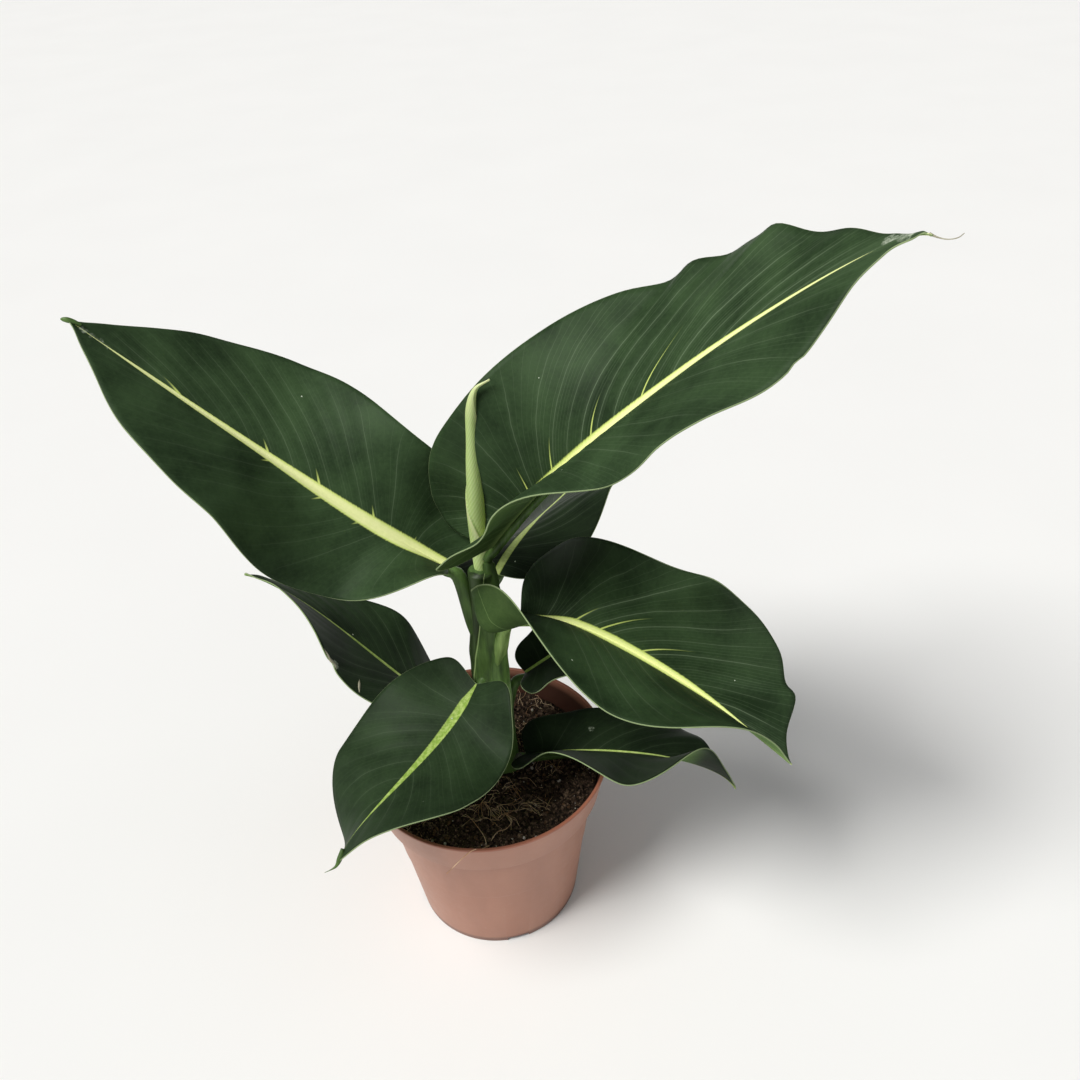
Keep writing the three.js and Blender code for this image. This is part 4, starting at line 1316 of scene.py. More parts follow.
def room_between(points, count):
    """The distance in mm between places where the count differs by one, square to where it stays the same."""
    down, across = np.gradient(points, axis=0), np.gradient(points, axis=1)
    rise_down, rise_across = np.gradient(count, axis=0), np.gradient(count, axis=1)
    down_down, across_across = (down ** 2).sum(-1), (across ** 2).sum(-1)
    down_across = (down * across).sum(-1)
    area = np.maximum(down_down * across_across - down_across ** 2, 1e-9)
    slope = (rise_down ** 2 * across_across - 2 * rise_down * rise_across * down_across
             + rise_across ** 2 * down_down) / area
    return np.clip(1 / np.sqrt(np.maximum(slope, 1e-9)), 0.2, 40)


def make_blade(name, dims, settings, material, order):
    """The blade as a closed sheet on a fine grid, with the attributes that its material reads."""
    shape = LeafShape(dims)
    rows, half = settings.rows, settings.columns
    row = np.linspace(0, 1, rows + 1)[1:-1, None] * np.ones(2 * half + 1)
    across = np.linspace(-1, 1, 2 * half + 1) * np.ones_like(row)
    # The columns stand closer together at the midrib, where the stripe and the groove are.
    out = np.abs(across) ** RELIEF["crowding"]
    left = shape.half(row, out, -1)
    right = shape.half(row, out, 1)
    on_left = across < 0
    points = np.where(on_left[..., None], left[0], right[0])
    along, reach, inset = (np.where(on_left, left[k], right[k]) for k in (1, 2, 3))

    # A shallow groove over the midrib, the blade puffed up a little between its side veins, and small
    # uneven waves towards the margin.
    up = shape.frame(along)[3]
    share = np.clip(along / shape.length, 0, 1)
    groove = -settings.groove / MM * np.exp(-(reach / RELIEF["groove_width"]) ** 2) * (1 - share)
    veins = round(shape.length * MM / settings.vein_spacing)
    counted = vein_rows(row, out, dims.get("lean", VEINS["lean"])) * veins
    vein = counted + np.where(on_left, 0.0, 0.5)
    body = smoothstep(reach, *RELIEF["puff_from_rib"]) * smoothstep(inset, *RELIEF["puff_from_margin"])
    puff = -settings.puff / MM * np.cos(2 * np.pi * vein) * body
    uneven = np.array([
        noise.noise(Vector((order * 7.3, side * 3.1, place * shape.length / RELIEF["ruffle_length"])))
        for place, side in zip(row.ravel(), np.sign(across).ravel())
    ]).reshape(row.shape)
    ruffle = settings.ruffle / MM * uneven * out ** 3 * smoothstep(row, *RELIEF["ruffle_ends"])
    points = points + up * (groove + puff + ruffle)[..., None]

    room = room_between(points, counted)
    stripe = reach / np.maximum(np.interp(share, STRIPE_STATIONS, dims["stripe"]), 0.05)
    # Each point belongs to the nearest streak of its half, and to none where that is most of a vein away.
    streak = np.zeros_like(row)
    streak_off = np.full_like(row, np.inf)
    for place, side, length in dims["streaks"]:
        off = counted - place * veins
        nearer = (np.abs(off) < np.abs(streak_off)) & (on_left == (side < 0))
        streak = np.where(nearer, np.where(np.abs(off) < STREAK_SPAN, length, 0.0), streak)
        streak_off = np.where(nearer, off, streak_off)
    streak_off = np.where(np.isfinite(streak_off), streak_off, 1.0) * room / dims.get("streak_width", 0.75)
    mark = np.zeros_like(row)
    sideways = np.where(on_left, -reach, reach)
    for place, to_the_right, radius, strength in dims["marks"]:
        near = np.hypot(along - place * shape.length, sideways - to_the_right)
        mark = np.maximum(mark, strength * (1 - smoothstep(near, radius * 0.3, radius)))

    base, tip = shape.frame(0.0)[0], shape.frame(shape.length)[0]
    flat = np.concatenate([points.reshape(-1, 3), [base], [tip]])
    columns = 2 * half + 1
    faces = grid_faces(rows - 1, columns)
    base_at, tip_at = len(flat) - 2, len(flat) - 1
    last = (rows - 2) * columns
    for j in range(columns - 1):
        faces.append((base_at, j + 1, j))
        faces.append((tip_at, last + j, last + j + 1))
    # The rim is a little thicker than the blade.
    rim = 1 + settings.rim_swell * np.exp(-inset / RELIEF["rim_width"])
    thickness = np.concatenate([rim.ravel(), [1, 1]])[:, None] * settings.thickness / MM
    sheet, sheet_faces, underside = closed_sheet(flat, faces, thickness)
    # Each: its grid, and its values at the base and at the tip. Vein numbers of different leaves never meet.
    values = {
        "vein": (vein + 100 * order, 100 * order, 100 * order + veins),
        "reach": (reach, 0.0, 0.0),
        "inset": (inset, 0.0, 0.0),
        "vein_room": (room, 0.5, 0.5),
        "stripe": (stripe, 0.5, 20.0),
        "streak": (streak, 0.0, 0.0),
        "streak_off": (streak_off, 9.0, 9.0),
        "climb": (share, 0.0, 1.0),
        "veining": (np.where(on_left, *dims["veining"]), 0.0, 0.0),
        "mark": (mark, 0.0, mark[-1, half]),
    }
    attributes = {
        label: np.tile(np.concatenate([grid.ravel(), [first, end_value]]), 2)
        for label, (grid, first, end_value) in values.items()
    }
    attributes["mark"] = attributes["mark"] * (1 - underside)
    # Painted shade: the lower face of a drawn out tip turns as dark as the top.
    if "painted_shade_point" in dims:
        underside = underside * (1 - smoothstep(attributes["climb"], *dims["painted_shade_point"]))
    attributes["underside"] = underside
    for label in ("tone", "dulled"):
        attributes[label] = np.full(len(sheet), dims[label])
    blade = new_piece(name + "_blade", sheet, sheet_faces, attributes=attributes)
    blade.data.materials.append(material)
    finish_piece(blade, "leaf", name)


def make_stalk(name, path, radii, tree, kind, material, slot):
    """A piece swept along a path in mm, with a radius in mm at each of its points."""
    edges = [(k, k + 1) for k in range(len(path) - 1)]
    piece = new_piece(name, path, edges=edges, attributes={"radius": np.asarray(radii) * MM})
    sweep = SWEEPS[kind]
    run_tree(piece, tree, {
        "Sides": sweep["sides"],
        "Points": sweep["points"],
        "Groove": sweep["groove"],
        "Material": material,
    })
    finish_piece(piece, slot)


def petiole_path(shape):
    """The petiole's path from inside the stem to the blade and on under the midrib, with its radii."""
    height, foot_radius = shape.dims["petiole"]
    root, forward, _, up = shape.frame(0.0)
    hugging = (root[2] - height) * PETIOLE["hug_share"]
    axis = np.array([STEM_X, 0.0, 0.0])
    inside = axis + shape.outward * (STEM["top_radius"] - foot_radius) + UP * (height - PETIOLE["sink"])
    beside = axis + shape.outward * (STEM["top_radius"] - PETIOLE["hug"]) + UP * (height + hugging)
    bend = root - forward * min(hugging, PETIOLE["turn"]) - up * RIB["start"]
    bend = bend - UP * shape.dims.get("petiole_sag", 0.0)
    rib_length = shape.dims.get("rib_length", RIB["length"])
    shares = np.linspace(0, rib_length, PETIOLE["rib_points"] + 1)
    depth = RIB["start"] + (RIB["end"] - RIB["start"]) * shares / rib_length
    place, _, _, rib_up = shape.frame(shares * shape.length)
    under = place - rib_up * (depth[:, None] + PETIOLE["below"])
    path = np.concatenate([[inside, beside, bend], under])
    bend_radius = shape.dims.get("bend_radius", RIB["start"])
    return path, [foot_radius, foot_radius * PETIOLE["waist"], bend_radius, *(depth * PETIOLE["rib_share"])]


# Settings


class PotSettings(bpy.types.PropertyGroup):
    rim_radius: FloatProperty(
        name="Rim radius", description="Outer radius of the rim", default=POT_HIGH.x, unit="LENGTH")
    height: FloatProperty(name="Height", description="Height of the pot", default=POT_HIGH.z, unit="LENGTH")
    band_height: FloatProperty(
        name="Band height", description="Height of the band below the rim", default=20 * MM, unit="LENGTH")
    wall: FloatProperty(
        name="Wall", description="Thickness of the moulded wall", default=1.6 * MM, unit="LENGTH")
    drains: IntProperty(name="Drain holes", description="Holes round the underside", default=8)
    notches: IntProperty(name="Notches", description="Notches in the foot ring", default=4)
    steps_round: IntProperty(name="Steps round", description="Facets round the pot", default=176)
    colour: StringProperty(name="Colour", description="Plastic, as sRGB hex", default="#b68068")
    # Painted shade on the top of the lip.
    lip_shade_colour: StringProperty(name="Lip", description="Lip, as sRGB hex", default="#8f4a37")
    shade_colour: StringProperty(
        name="Shade colour", description="Darker flow bands in the plastic, as sRGB hex", default="#9c6a55")


class SoilSettings(bpy.types.PropertyGroup):
    surface: FloatProperty(
        name="Surface", description="Height of the soil at the wall", default=84.5 * MM, unit="LENGTH")
    crumb_density: FloatProperty(
        name="Crumb density", description="Crumbs on each square metre", default=400000)
    fibre_density: FloatProperty(
        name="Fibre density", description="Fibres on each square metre in a tangle", default=120000)
    fibre_length: FloatProperty(
        name="Fibre length", description="Length of a middling fibre", default=13 * MM, unit="LENGTH")
    seed: IntProperty(name="Seed", description="Seed for the scattered pieces", default=4)


class LeafSettings(bpy.types.PropertyGroup):
    thickness: FloatProperty(
        name="Thickness", description="Thickness of a blade", default=0.45 * MM, unit="LENGTH")
    rim_swell: FloatProperty(
        name="Rim swell", description="How much thicker the edge is, as a share", default=0.15,
        subtype="FACTOR")
    rows: IntProperty(name="Rows", description="Grid steps along a blade", default=144)
    columns: IntProperty(name="Columns", description="Grid steps across a half", default=26)
    vein_spacing: FloatProperty(
        name="Vein spacing", description="Mean distance between side veins", default=9 * MM, unit="LENGTH")
    groove: FloatProperty(
        name="Groove", description="Depth of the groove over the midrib", default=0.45 * MM, unit="LENGTH")
    puff: FloatProperty(
        name="Puff", description="Rise of the blade between side veins", default=0.12 * MM, unit="LENGTH")
    ruffle: FloatProperty(
        name="Ruffle", description="Height of the small waves at the margin", default=1.1 * MM, unit="LENGTH")
    roughness: FloatProperty(
        name="Roughness", description="Roughness of the upper face", default=0.55, subtype="FACTOR")
    dark_green: StringProperty(name="Dark green", description="Upper face", default="#22331d")
    light_green: StringProperty(name="Light green", description="Upper face", default="#3b5132")
    vein_colour: StringProperty(name="Vein", description="Side veins", default="#93a886")
    stripe_colour: StringProperty(name="Stripe", description="Midrib stripe", default="#fdffc0")
    stripe_edge: StringProperty(name="Stripe edge", description="Edge of the stripe", default="#d5e57e")
    stripe_dulled: StringProperty(
        name="Dulled stripe", description="Stripe of an old leaf", default="#86a544")
    lower_dark: StringProperty(name="Lower dark", description="Lower face", default="#476730")
    lower_light: StringProperty(name="Lower light", description="Lower face", default="#6b8b4b")
    # Pale gristly margin, with painted highlight where light catches the rim.
    margin_and_highlight_colour: StringProperty(name="Margin", description="Edge of the blade", default="#a3b585")


class StemSettings(bpy.types.PropertyGroup):
    dark: StringProperty(name="Dark streaks", description="Stem colour", default="#2c3f1d")
    light: StringProperty(name="Light streaks", description="Stem colour", default="#58753a")
    petiole_dark: StringProperty(name="Petiole dark", description="Petioles", default="#33491f")
    petiole_light: StringProperty(name="Petiole light", description="Petioles", default="#5f7f40")
    pale_dark: StringProperty(name="Pale petiole dark", description="Petioles", default="#5a7639")
    pale_light: StringProperty(name="Pale petiole light", description="Petioles", default="#9ab56c")
    rolled_colour: StringProperty(name="Rolled leaf", description="New leaf", default="#b0ca7b")
    rolled_vein: StringProperty(name="Rolled veins", description="New leaf", default="#d6e6a6")


class StageSettings(bpy.types.PropertyGroup):
    floor_size: FloatProperty(name="Floor size", description="Side of the floor", default=24.0, unit="LENGTH")
    floor_colour: StringProperty(name="Floor", description="Colour of the floor", default="#f0f0ee")
    key_from: FloatVectorProperty(
        name="Key from", description="Where the main light shines from", default=(-0.62, -0.38, 1.0),
        subtype="DIRECTION")
    key_strength: FloatProperty(name="Key strength", description="Strength of the main light", default=3.15)
    key_softness: FloatProperty(
        name="Key softness", description="Angle of the main light's source in degrees", default=28.0)
    fill_strength: FloatProperty(
        name="Fill strength", description="Strength of the filling light", default=0.35)
    sky_strength: FloatProperty(
        name="Sky strength", description="Strength of the light from all round", default=0.2)


# The pot


def body_radius(height, pot):
    """The outer wall's radius below the band, in mm."""
    share = height / ((pot.height - pot.band_height) / MM)
    return POT["foot"] + (POT["shoulder"] - POT["foot"]) * share


def rounded(points, radii, steps=4):
    """The outline with each corner cut by an arc of its radius."""
    result = []
    for k, (point, radius) in enumerate(zip(points, radii)):
        here = np.array(point, float)
        if radius == 0 or k in (0, len(points) - 1):
            result.append(here)
            continue
        back = np.array(points[k - 1], float) - here
        ahead = np.array(points[k + 1], float) - here
        cut = min(radius, 0.45 * np.linalg.norm(back), 0.45 * np.linalg.norm(ahead))
        first = here + back / np.linalg.norm(back) * cut
        last = here + ahead / np.linalg.norm(ahead) * cut
        for t in np.linspace(0, 1, steps + 1):
            result.append((1 - t) ** 2 * first + 2 * t * (1 - t) * here + t ** 2 * last)
    return result


def pot_outline(pot):
    """The outline, in mm: outside from the middle of the underside up to the rim, then down inside."""
    top, rim, wall = pot.height / MM, pot.rim_radius / MM, pot.wall / MM
    band = (pot.height - pot.band_height) / MM
    ring, step, lip = POT["ring_height"], POT["ring_step"], POT["lip"]
    rise = UNDERSIDE["rise"]
    # Each point: radius, height, and the rounding of its corner.
    outline = [
        (0, 0, 0),
        (UNDERSIDE["pad"], 0, 1.0),
        (UNDERSIDE["channel_inner"], rise, 1.0),
        (UNDERSIDE["channel_outer"], rise, 0.5),
        (UNDERSIDE["foot_inner"], 0, 0.3),
        (POT["foot"], 0, 0.8),
        (body_radius(ring, pot) - step, ring, 0.7),
        (body_radius(ring, pot), ring + step, 0.7),
        (POT["shoulder"], band, 0.4),
        (POT["band_foot"], band, 0.9),
        (POT["band_top"], top - 3 * lip, 0.8),
        (rim, top - 2.2 * lip, 0.3),
        (rim, top, 0.45),
        (rim - wall, top, 0.5),
        (POT["band_foot"] - wall, band + 2 * wall, 2.0),
        (POT["shoulder"] - wall, band + wall, 2.0),
        (POT["foot"] - wall, wall, 1.5),
        (UNDERSIDE["foot_inner"], wall, 1.0),
        (UNDERSIDE["channel_outer"], rise + wall, 1.0),
        (UNDERSIDE["channel_inner"], rise + wall, 1.0),
        (UNDERSIDE["pad"], wall, 1.0),
        (0, wall, 0),
    ]
    return rounded([point[:2] for point in outline], [point[2] for point in outline])


class PLANT_OT_pot(bpy.types.Operator):
    """Makes the nursery pot"""
    bl_idname = "plant.pot"
    bl_label = "Make the pot"

    def execute(self, context):
        pot = context.scene.plant_pot
        outline = pot_outline(pot)
        turning = pot.rim_radius / MM
        # The outline hangs on a circle as wide as the rim, so its radii are given from that circle.
        points = [(radius - turning, height, 0.0) for radius, height in outline]
        guide = new_piece("pot_outline", points, edges=[(k, k + 1) for k in range(len(points) - 1)])
        piece = new_piece("pot_shell", [(0.0, 0.0, 0.0)])
        past = UNDERSIDE["cut_past"]
        foot_wall = POT["foot"] - UNDERSIDE["foot_inner"]
        run_tree(piece, pot_tree(), {
            "Outline": guide,
            "Turning Radius": pot.rim_radius,
            "Steps Round": pot.steps_round,
            "Drain Holes": pot.drains,
            "Drain Circle": (UNDERSIDE["channel_inner"] + UNDERSIDE["channel_outer"]) / 2 * MM,
            "Drain Radius": UNDERSIDE["drain_radius"] * MM,
            "Drain Length": pot.wall + 2 * past * MM,
            "Drain Height": UNDERSIDE["rise"] * MM + pot.wall / 2,
            "Notches": pot.notches,
            "Notch Circle": (POT["foot"] + UNDERSIDE["foot_inner"]) / 2 * MM,
            "Notch Size": ((foot_wall + 2 * past) * MM, UNDERSIDE["notch_width"] * MM,
                           2 * UNDERSIDE["notch_height"] * MM),
            "Notch Heading": math.radians(UNDERSIDE["notch_heading"]),
            "Material": moulded_polypropylene(pot),
        })
        bpy.data.objects.remove(guide)
        if not piece.data.polygons:
            raise RuntimeError("the pot came out empty")
        # The inner wall, painted dark as shade: the points nearer the axis than the middle of the wall.
        places = np.array([vertex.co for vertex in piece.data.vertices]) / MM
        top, band, wall = pot.height / MM, (pot.height - pot.band_height) / MM, pot.wall / MM
        middle = np.interp(places[:, 2], [0, band, band + wall, top],
                           [POT["foot"], POT["shoulder"], POT["band_foot"], POT["band_top"]]) - wall / 2
        inside = (np.hypot(places[:, 0], places[:, 1]) < middle) & (places[:, 2] < top - wall) \
            & (places[:, 2] > UNDERSIDE["rise"])
        layer = piece.data.attributes.new("inside", "FLOAT", "POINT")
        layer.data.foreach_set("value", inside.astype(np.float32))
        finish_piece(piece, "pot", "pot")
        piece.data.set_sharp_from_angle(angle=math.radians(SHARP_OVER))
        return {"FINISHED"}


# The soil


def soil_height(x, y, soil):
    """Height of the soil's top, in mm, with its heap towards the middle and its lumps."""
    height = soil.surface / MM + SOIL["heap"] * (1 - np.hypot(x, y) / SOIL["heap_edge"])
    for size, along_x, along_y, start in SOIL["ripples"]:
        height = height + size * np.sin(along_x * x + along_y * y + start)
    return height


class PLANT_OT_soil(bpy.types.Operator):
    """Makes the soil with its crumbs and coir fibres"""
    bl_idname = "plant.soil"
    bl_label = "Make the soil"

    def execute(self, context):
        soil = context.scene.plant_soil
        pot = context.scene.plant_pot
        rings, sides = SOIL["rings"], SOIL["sides"]
        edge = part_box("soil")[1].x / MM
        radii = edge * np.linspace(0, 1, rings + 1)[1:]
        turns = np.linspace(0, 2 * np.pi, sides, endpoint=False)
        x = radii[:, None] * np.cos(turns)
        y = radii[:, None] * np.sin(turns)
        z = soil_height(x, y, soil)
        turns_per_mm = SOIL["crumble_turns"]
        rough = np.array([
            noise.fractal(Vector((px * turns_per_mm, py * turns_per_mm, 3.0)), *SOIL["crumble_finer"])
            for px, py in zip(x.ravel(), y.ravel())
        ]).reshape(x.shape)
        from_wall = (edge - np.hypot(x, y)) / SOIL["crumble_fades"]
        z = z + SOIL["crumble"] * rough * np.clip(from_wall, SOIL["crumble_left"], 1)
        surface = np.stack([x, y, z], -1)
        # The sides follow the inside of the pot down to its floor.
        band = (pot.height - pot.band_height) / MM
        wall, gap = pot.wall / MM, SOIL["gap"]
        inside = [
            (POT["band_foot"] - wall - gap, band + 2 * wall),
            (POT["shoulder"] - wall - SOIL["shoulder_gap"], band + wall),
            (POT["foot"] - wall - gap, wall + gap),
            (UNDERSIDE["foot_inner"] + gap, wall + gap),
            (UNDERSIDE["channel_outer"] + gap, UNDERSIDE["rise"] + wall + gap),
            (UNDERSIDE["channel_inner"] - gap, UNDERSIDE["rise"] + wall + gap),
            (UNDERSIDE["pad"] - gap, wall + gap),
        ]
        sides_down = np.array([
            np.stack([r * np.cos(turns), r * np.sin(turns), np.full(sides, h)], -1) for r, h in inside
        ])
        points = np.concatenate([surface, sides_down]).reshape(-1, 3)
        faces = grid_faces(len(radii) + len(inside), sides, closed=True)
        middle = len(points)
        bottom = middle + 1
        points = np.concatenate([points, [[0, 0, soil_height(0.0, 0.0, soil)]], [[0, 0, wall + gap]]])
        last = (len(radii) + len(inside) - 1) * sides
        for j in range(sides):
            faces.append((middle, (j + 1) % sides, j))
            faces.append((bottom, last + j, last + (j + 1) % sides))
        faces = [tuple(reversed(face)) for face in faces]
        mass = new_piece("soil_mass", points, faces)
        mass.data.materials.append(peat("Damp peat", "#17100c", "#564436"))
        finish_piece(mass, "soil", "soil")

        # Crumbs and fibres are scattered over the open top, clear of the stem and the pot's wall.
        at_stem, at_wall = SOIL["bare_rings"]
        open_rings = surface[at_stem:rings - at_wall]
        open_top = open_rings.reshape(-1, 3)
        open_faces = [tuple(reversed(face)) for face in grid_faces(len(open_rings), sides, closed=True)]
        crumbs_over = crumb_tree()
        for k, (name, kind) in enumerate(CRUMBS.items()):
            material_name, share, smallest, largest, flatness, dark, light = kind
            crumbs = new_piece(name, open_top, open_faces)
            run_tree(crumbs, crumbs_over, {
                "Density": soil.crumb_density * share,
                "Smallest": smallest * MM,
                "Largest": largest * MM,
                "Flatness": flatness,
                "Seed": soil.seed + k,
                "Material": peat(material_name, dark, light),
            })
            finish_piece(crumbs, "soil")
        fibres = new_piece("soil_fibres", open_top, open_faces)
        run_tree(fibres, fibre_tree(), {
            "Density": soil.fibre_density,
            "Length": soil.fibre_length,
            "Radius": FIBRES["radius"] * MM,
            "Bend": FIBRES["bend"] * MM,
            "Tangle Size": FIBRES["tangle_size"] * MM,
            "Seed": soil.seed,
            "Material": coir(),
        })
        finish_piece(fibres, "soil")
        tree = stalk_tree()
        for name, path in LONG_FIBRES.items():
            make_stalk(name, path, [FIBRES["long_radius"]] * len(path), tree, "fibre", coir(), "soil")
        return {"FINISHED"}


# The stem and the new leaf


def past_edge(height, turn, sheath):
    """How far round the stem a point lies past the sheath's edge, in mm, towards the sheath."""
    edge = SHEATHS[sheath]["heading"] + SHEATHS[sheath]["winding"] * (height - SHEATHS["height"])
    past = (np.degrees(turn) - edge + 180) % 360 - 180
    return np.radians(past if sheath == "right" else -past) * STEM["bottom_radius"]


def stem_radius(height, turn):
    """The stem's outline, in mm: swollen at each leaf, widened by two sheaths, and folded where they lap."""
    share = (height - STEM["swell_foot"]) / (STEM["top"] - STEM["swell_foot"])
    radius = STEM["bottom_radius"] + (STEM["top_radius"] - STEM["bottom_radius"]) * share
    for dims in LEAVES.values():
        from_node = (height - dims["petiole"][0]) / STEM["node_reach"]
        radius = radius + STEM["node_swell"] * np.exp(-from_node ** 2)
    wrapped = 1 - smoothstep(height, SHEATHS["narrows_from"], SHEATHS["narrows_to"])
    radius = radius + SHEATHS["widening"] * wrapped * np.cos(turn) ** 2
    for sheath in ("left", "right"):
        past = past_edge(height, turn, sheath)
        radius = radius + SHEATHS[sheath]["stand_off"] * wrapped * smoothstep(past, 0, SHEATHS["lap"]) \
            * (1 - smoothstep(past, 4 * SHEATHS["lap"], 12 * SHEATHS["lap"]))
    return radius + STEM["sheath_fold"] * np.cos(STEM["sheath_folds"] * turn + height / STEM["sheath_turn"])


class PLANT_OT_stem(bpy.types.Operator):
    """Makes the stem"""
    bl_idname = "plant.stem"
    bl_label = "Make the stem"

    def execute(self, context):
        stem = context.scene.plant_stem
        sides = STEM["sides"]
        heights = np.linspace(STEM["foot"] - STEM["in_soil"], STEM["top"], STEM["rings"])
        turns = np.linspace(0, 2 * np.pi, sides, endpoint=False)
        height = heights[:, None] * np.ones(sides)
        turn = turns * np.ones_like(height)
        radius = stem_radius(height, turn)
        points = np.stack([STEM_X + radius * np.cos(turn), radius * np.sin(turn), height], -1).reshape(-1, 3)
        faces = grid_faces(len(heights), sides, closed=True)
        faces.append(tuple(reversed(range(sides))))
        last = (len(heights) - 1) * sides
        faces.append(tuple(range(last, last + sides)))
        cane = new_piece("stem_cane", points, faces, attributes={
            "left_sheath": past_edge(height, turn, "left"),
            "right_sheath": past_edge(height, turn, "right"),
        })
        cane.data.materials.append(green_stalk("Sheathed green cane", stem.dark, stem.light, sheathed=True))
        finish_piece(cane, "stem", "stem")

        heading = math.radians(STUB["heading"])
        along_x, along_y = math.cos(heading), math.sin(heading)
        path = [(STEM_X + reach * along_x, reach * along_y, height) for reach, height in STUB["path"]]
        make_stalk("stem_stub", path, STUB["radii"], stalk_tree(), "stub", dry_husk(), "stem")
        return {"FINISHED"}


class PLANT_OT_new_leaf(bpy.types.Operator):
    """Makes the rolled new leaf"""
    bl_idname = "plant.new_leaf"
    bl_label = "Make the new leaf"

    def execute(self, context):
        stem = context.scene.plant_stem
        sides, rings = NEW_LEAF["sides"], NEW_LEAF["rings"]
        stations = np.array([(STEM_X + x, NEW_LEAF["back"], z) for x, z in NEW_LEAF["axis"]], float)
        gaps = np.linalg.norm(np.diff(stations, axis=0), axis=1)
        travelled = np.concatenate([[0], np.cumsum(gaps)]) / gaps.sum()
        up = np.linspace(0, 1, rings)
        axis = np.array([smooth_through(stations, travelled, u) for u in up])
        forward = normalised(np.gradient(axis, axis=0))
        aside = normalised(np.cross([0.0, 1.0, 0.0], forward))
        back = np.cross(forward, aside)
        turn = np.linspace(0, 2 * np.pi, sides, endpoint=False)
        swell = blend(NEW_LEAF["radii"], NEW_LEAF["radius_stations"], up)[:, None]
        lap = (turn / (2 * np.pi) + NEW_LEAF["lap_start"] + NEW_LEAF["turns"] * up[:, None]) % 1.0
        radius = swell * (1 + NEW_LEAF["rolled_edge"] * (lap - 0.5))
        points = axis[:, None] + aside[:, None] * (radius * np.cos(turn))[..., None] \
            + back[:, None] * (radius * np.sin(turn))[..., None]
        flat = points.reshape(-1, 3)
        faces = grid_faces(rings, sides, closed=True)
        faces.append(tuple(reversed(range(sides))))
        faces.append(tuple(range((rings - 1) * sides, rings * sides)))
        climb = up[:, None] * np.ones(sides)
        slant = NEW_LEAF["veins_round"] * turn - 2 * np.pi * NEW_LEAF["veins_up"] * climb
        rolled = new_piece("new_leaf_roll", flat, faces, attributes={
            "lap": lap,
            "climb": climb,
            "vein_wave": 0.5 + 0.5 * np.cos(slant),
        })
        rolled.data.materials.append(rolled_leaf(stem))
        finish_piece(rolled, "new_leaf", "new_leaf")
        return {"FINISHED"}


def smooth_through(stations, shares, share):
    """A point of the smooth curve through the stations."""
    k = int(np.clip(np.searchsorted(shares, share, side="right") - 1, 0, len(stations) - 2))
    before = stations[max(k - 1, 0)]
    start, end = stations[k], stations[k + 1]
    after = stations[min(k + 2, len(stations) - 1)]
    width = shares[k + 1] - shares[k]
    t = (share - shares[k]) / width
    slope_in = (end - before) / (shares[k + 1] - shares[max(k - 1, 0)]) * width
    slope_out = (after - start) / (shares[min(k + 2, len(shares) - 1)] - shares[k]) * width
    return (2 * t ** 3 - 3 * t ** 2 + 1) * start + (t ** 3 - 2 * t ** 2 + t) * slope_in \
        + (3 * t ** 2 - 2 * t ** 3) * end + (t ** 3 - t ** 2) * slope_out


# The leaves


class PLANT_OT_leaves(bpy.types.Operator):
    """Makes the leaves, each a blade and its petiole"""
    bl_idname = "plant.leaves"
    bl_label = "Make the leaves"

    def execute(self, context):
        leaf = context.scene.plant_leaf
        stem = context.scene.plant_stem
        material = leaf_blade(leaf)
        green = green_stalk("Green petiole", stem.petiole_dark, stem.petiole_light)
        pale = green_stalk("Pale petiole", stem.pale_dark, stem.pale_light)
        tree = stalk_tree()
        for order, (name, dims) in enumerate(LEAVES.items()):
            make_blade(name, dims, leaf, material, order)
            path, radii = petiole_path(LeafShape(dims))
            skin = pale if dims.get("pale_petiole") else green
            make_stalk(name + "_petiole", path, radii, tree, "petiole", skin, "leaf")
        thread = dry_thread()
        for name, (steps, radii, dry) in TIP_ENDS.items():
            shape = LeafShape(LEAVES[name])
            tip = shape.frame(shape.length)[0]
            path = [tip + np.array(step) for step in steps]
            make_stalk(name + "_tip_end", path, radii, tree, "tip_end", thread if dry else green, "leaf")
        low_left = LeafShape(LEAVES["leaf_low_left"])
        for name, (places, radii) in TEARS.items():
            row, out = np.array(places).T[..., None]
            path = low_left.half(row, out, -1)[0][:, 0]
            make_stalk(name, path, radii, tree, "tear", thread, "leaf")
        return {"FINISHED"}


# The stage


def soft_sun(name, direction, strength, softness, tint):
    """A distant light that shines from a direction, as soft as a light source of that angle in degrees."""
    data = bpy.data.lights.new(name, "SUN")
    data.energy = strength
    data.angle = math.radians(softness)
    data.color = tint
    light = bpy.data.objects.new(name, data)
    light.rotation_euler = Vector(direction).to_track_quat("Z", "Y").to_euler()
    bpy.context.scene.collection.objects.link(light)


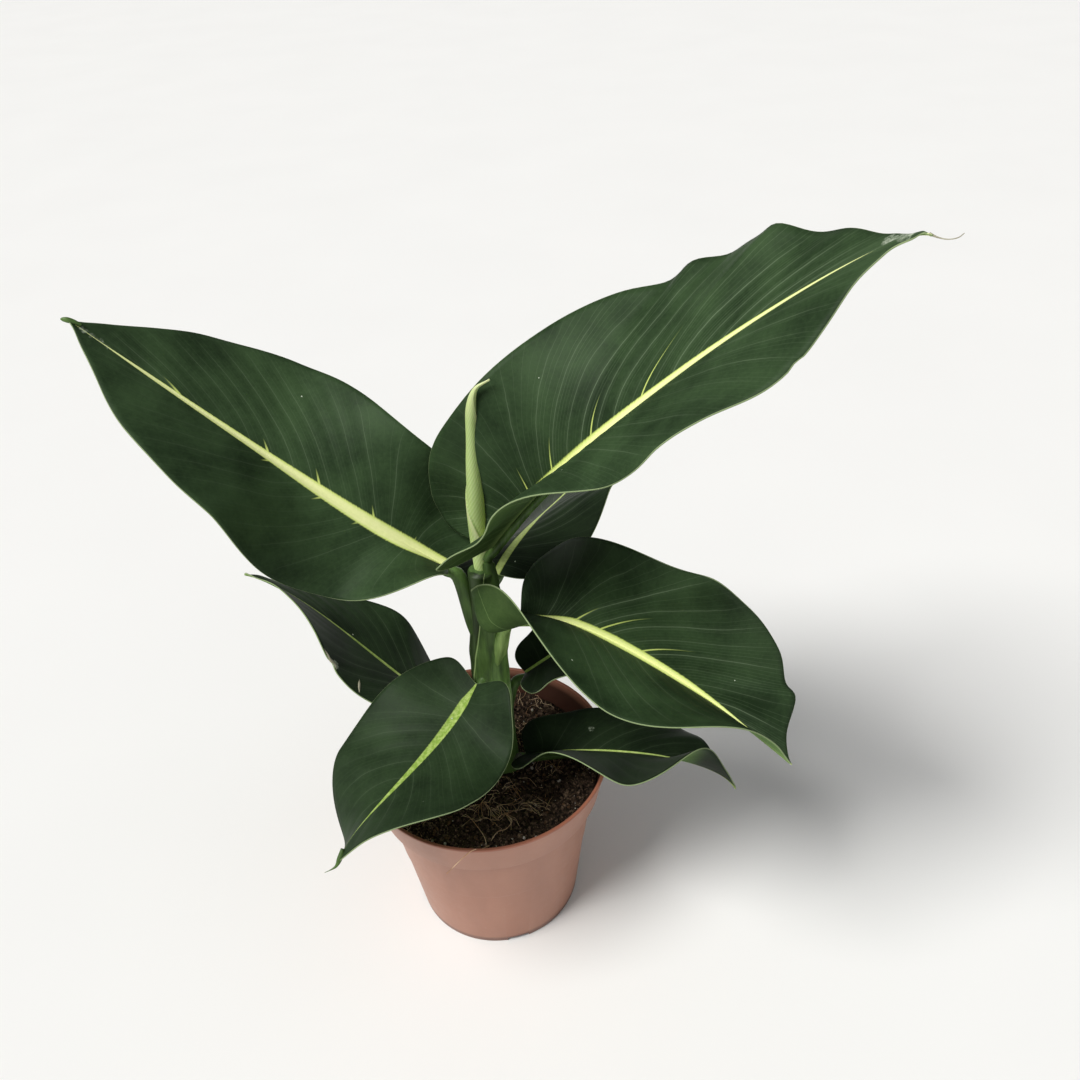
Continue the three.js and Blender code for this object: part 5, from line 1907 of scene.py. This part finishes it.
class PLANT_OT_stage(bpy.types.Operator):
    """Makes the floor, the lights and the camera"""
    bl_idname = "plant.stage"
    bl_label = "Make the stage"

    def execute(self, context):
        stage = context.scene.plant_stage
        side = stage.floor_size / MM / 2
        corners = [(-side, -side, 0), (side, -side, 0), (side, side, 0), (-side, side, 0)]
        floor = new_piece("floor", corners, [(0, 1, 2, 3)])
        floor.data.materials.append(painted_floor(stage))
        world = bpy.data.worlds.new("Soft daylight")
        world.use_nodes = True
        background = world.node_tree.nodes["Background"]
        background.inputs["Color"].default_value = colour("#eeeef2")
        background.inputs["Strength"].default_value = stage.sky_strength
        context.scene.world = world
        # Colours are shown as they are, with no film curve over them.
        context.scene.view_settings.view_transform = "Standard"
        soft_sun("key", stage.key_from, stage.key_strength, stage.key_softness, KEY_TINT)
        soft_sun("fill", FILL_FROM, stage.fill_strength, FILL_SOFTNESS, FILL_TINT)
        data = bpy.data.cameras.new("camera")
        data.lens = CAMERA["lens"]
        data.sensor_width = CAMERA["film"]
        camera = bpy.data.objects.new("camera", data)
        camera.location = [c * MM for c in CAMERA["place"]]
        right, up = Vector(CAMERA["right"]), Vector(CAMERA["up"])
        camera.rotation_euler = Matrix((right, up, right.cross(up))).transposed().to_euler()
        context.scene.collection.objects.link(camera)
        context.scene.camera = camera
        return {"FINISHED"}


# The add-on


class PLANT_PT_panel(bpy.types.Panel):
    """Lists the pieces and their settings"""
    bl_idname = "PLANT_PT_panel"
    bl_label = "Potted dieffenbachia"
    bl_space_type = "VIEW_3D"
    bl_region_type = "UI"
    bl_category = "Plant"

    def draw(self, context):
        for operator, group in (
            (PLANT_OT_pot, context.scene.plant_pot),
            (PLANT_OT_soil, context.scene.plant_soil),
            (PLANT_OT_stem, context.scene.plant_stem),
            (PLANT_OT_new_leaf, None),
            (PLANT_OT_leaves, context.scene.plant_leaf),
            (PLANT_OT_stage, context.scene.plant_stage),
        ):
            box = self.layout.box()
            box.operator(operator.bl_idname)
            if group is not None:
                for label in group.__annotations__:
                    box.prop(group, label)


SETTINGS = {
    "plant_pot": PotSettings,
    "plant_soil": SoilSettings,
    "plant_leaf": LeafSettings,
    "plant_stem": StemSettings,
    "plant_stage": StageSettings,
}
CLASSES = (*SETTINGS.values(), PLANT_OT_pot, PLANT_OT_soil, PLANT_OT_stem, PLANT_OT_new_leaf, PLANT_OT_leaves,
           PLANT_OT_stage, PLANT_PT_panel)


def register():
    for item in CLASSES:
        bpy.utils.register_class(item)
    for label, group in SETTINGS.items():
        setattr(bpy.types.Scene, label, PointerProperty(type=group))


def unregister():
    for label in SETTINGS:
        delattr(bpy.types.Scene, label)
    for item in reversed(CLASSES):
        bpy.utils.unregister_class(item)


def main():
    register()
    bpy.ops.plant.stage()
    bpy.ops.plant.pot()
    bpy.ops.plant.soil()
    bpy.ops.plant.stem()
    bpy.ops.plant.new_leaf()
    bpy.ops.plant.leaves()
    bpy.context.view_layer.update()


if __name__ == "__main__":
    main()
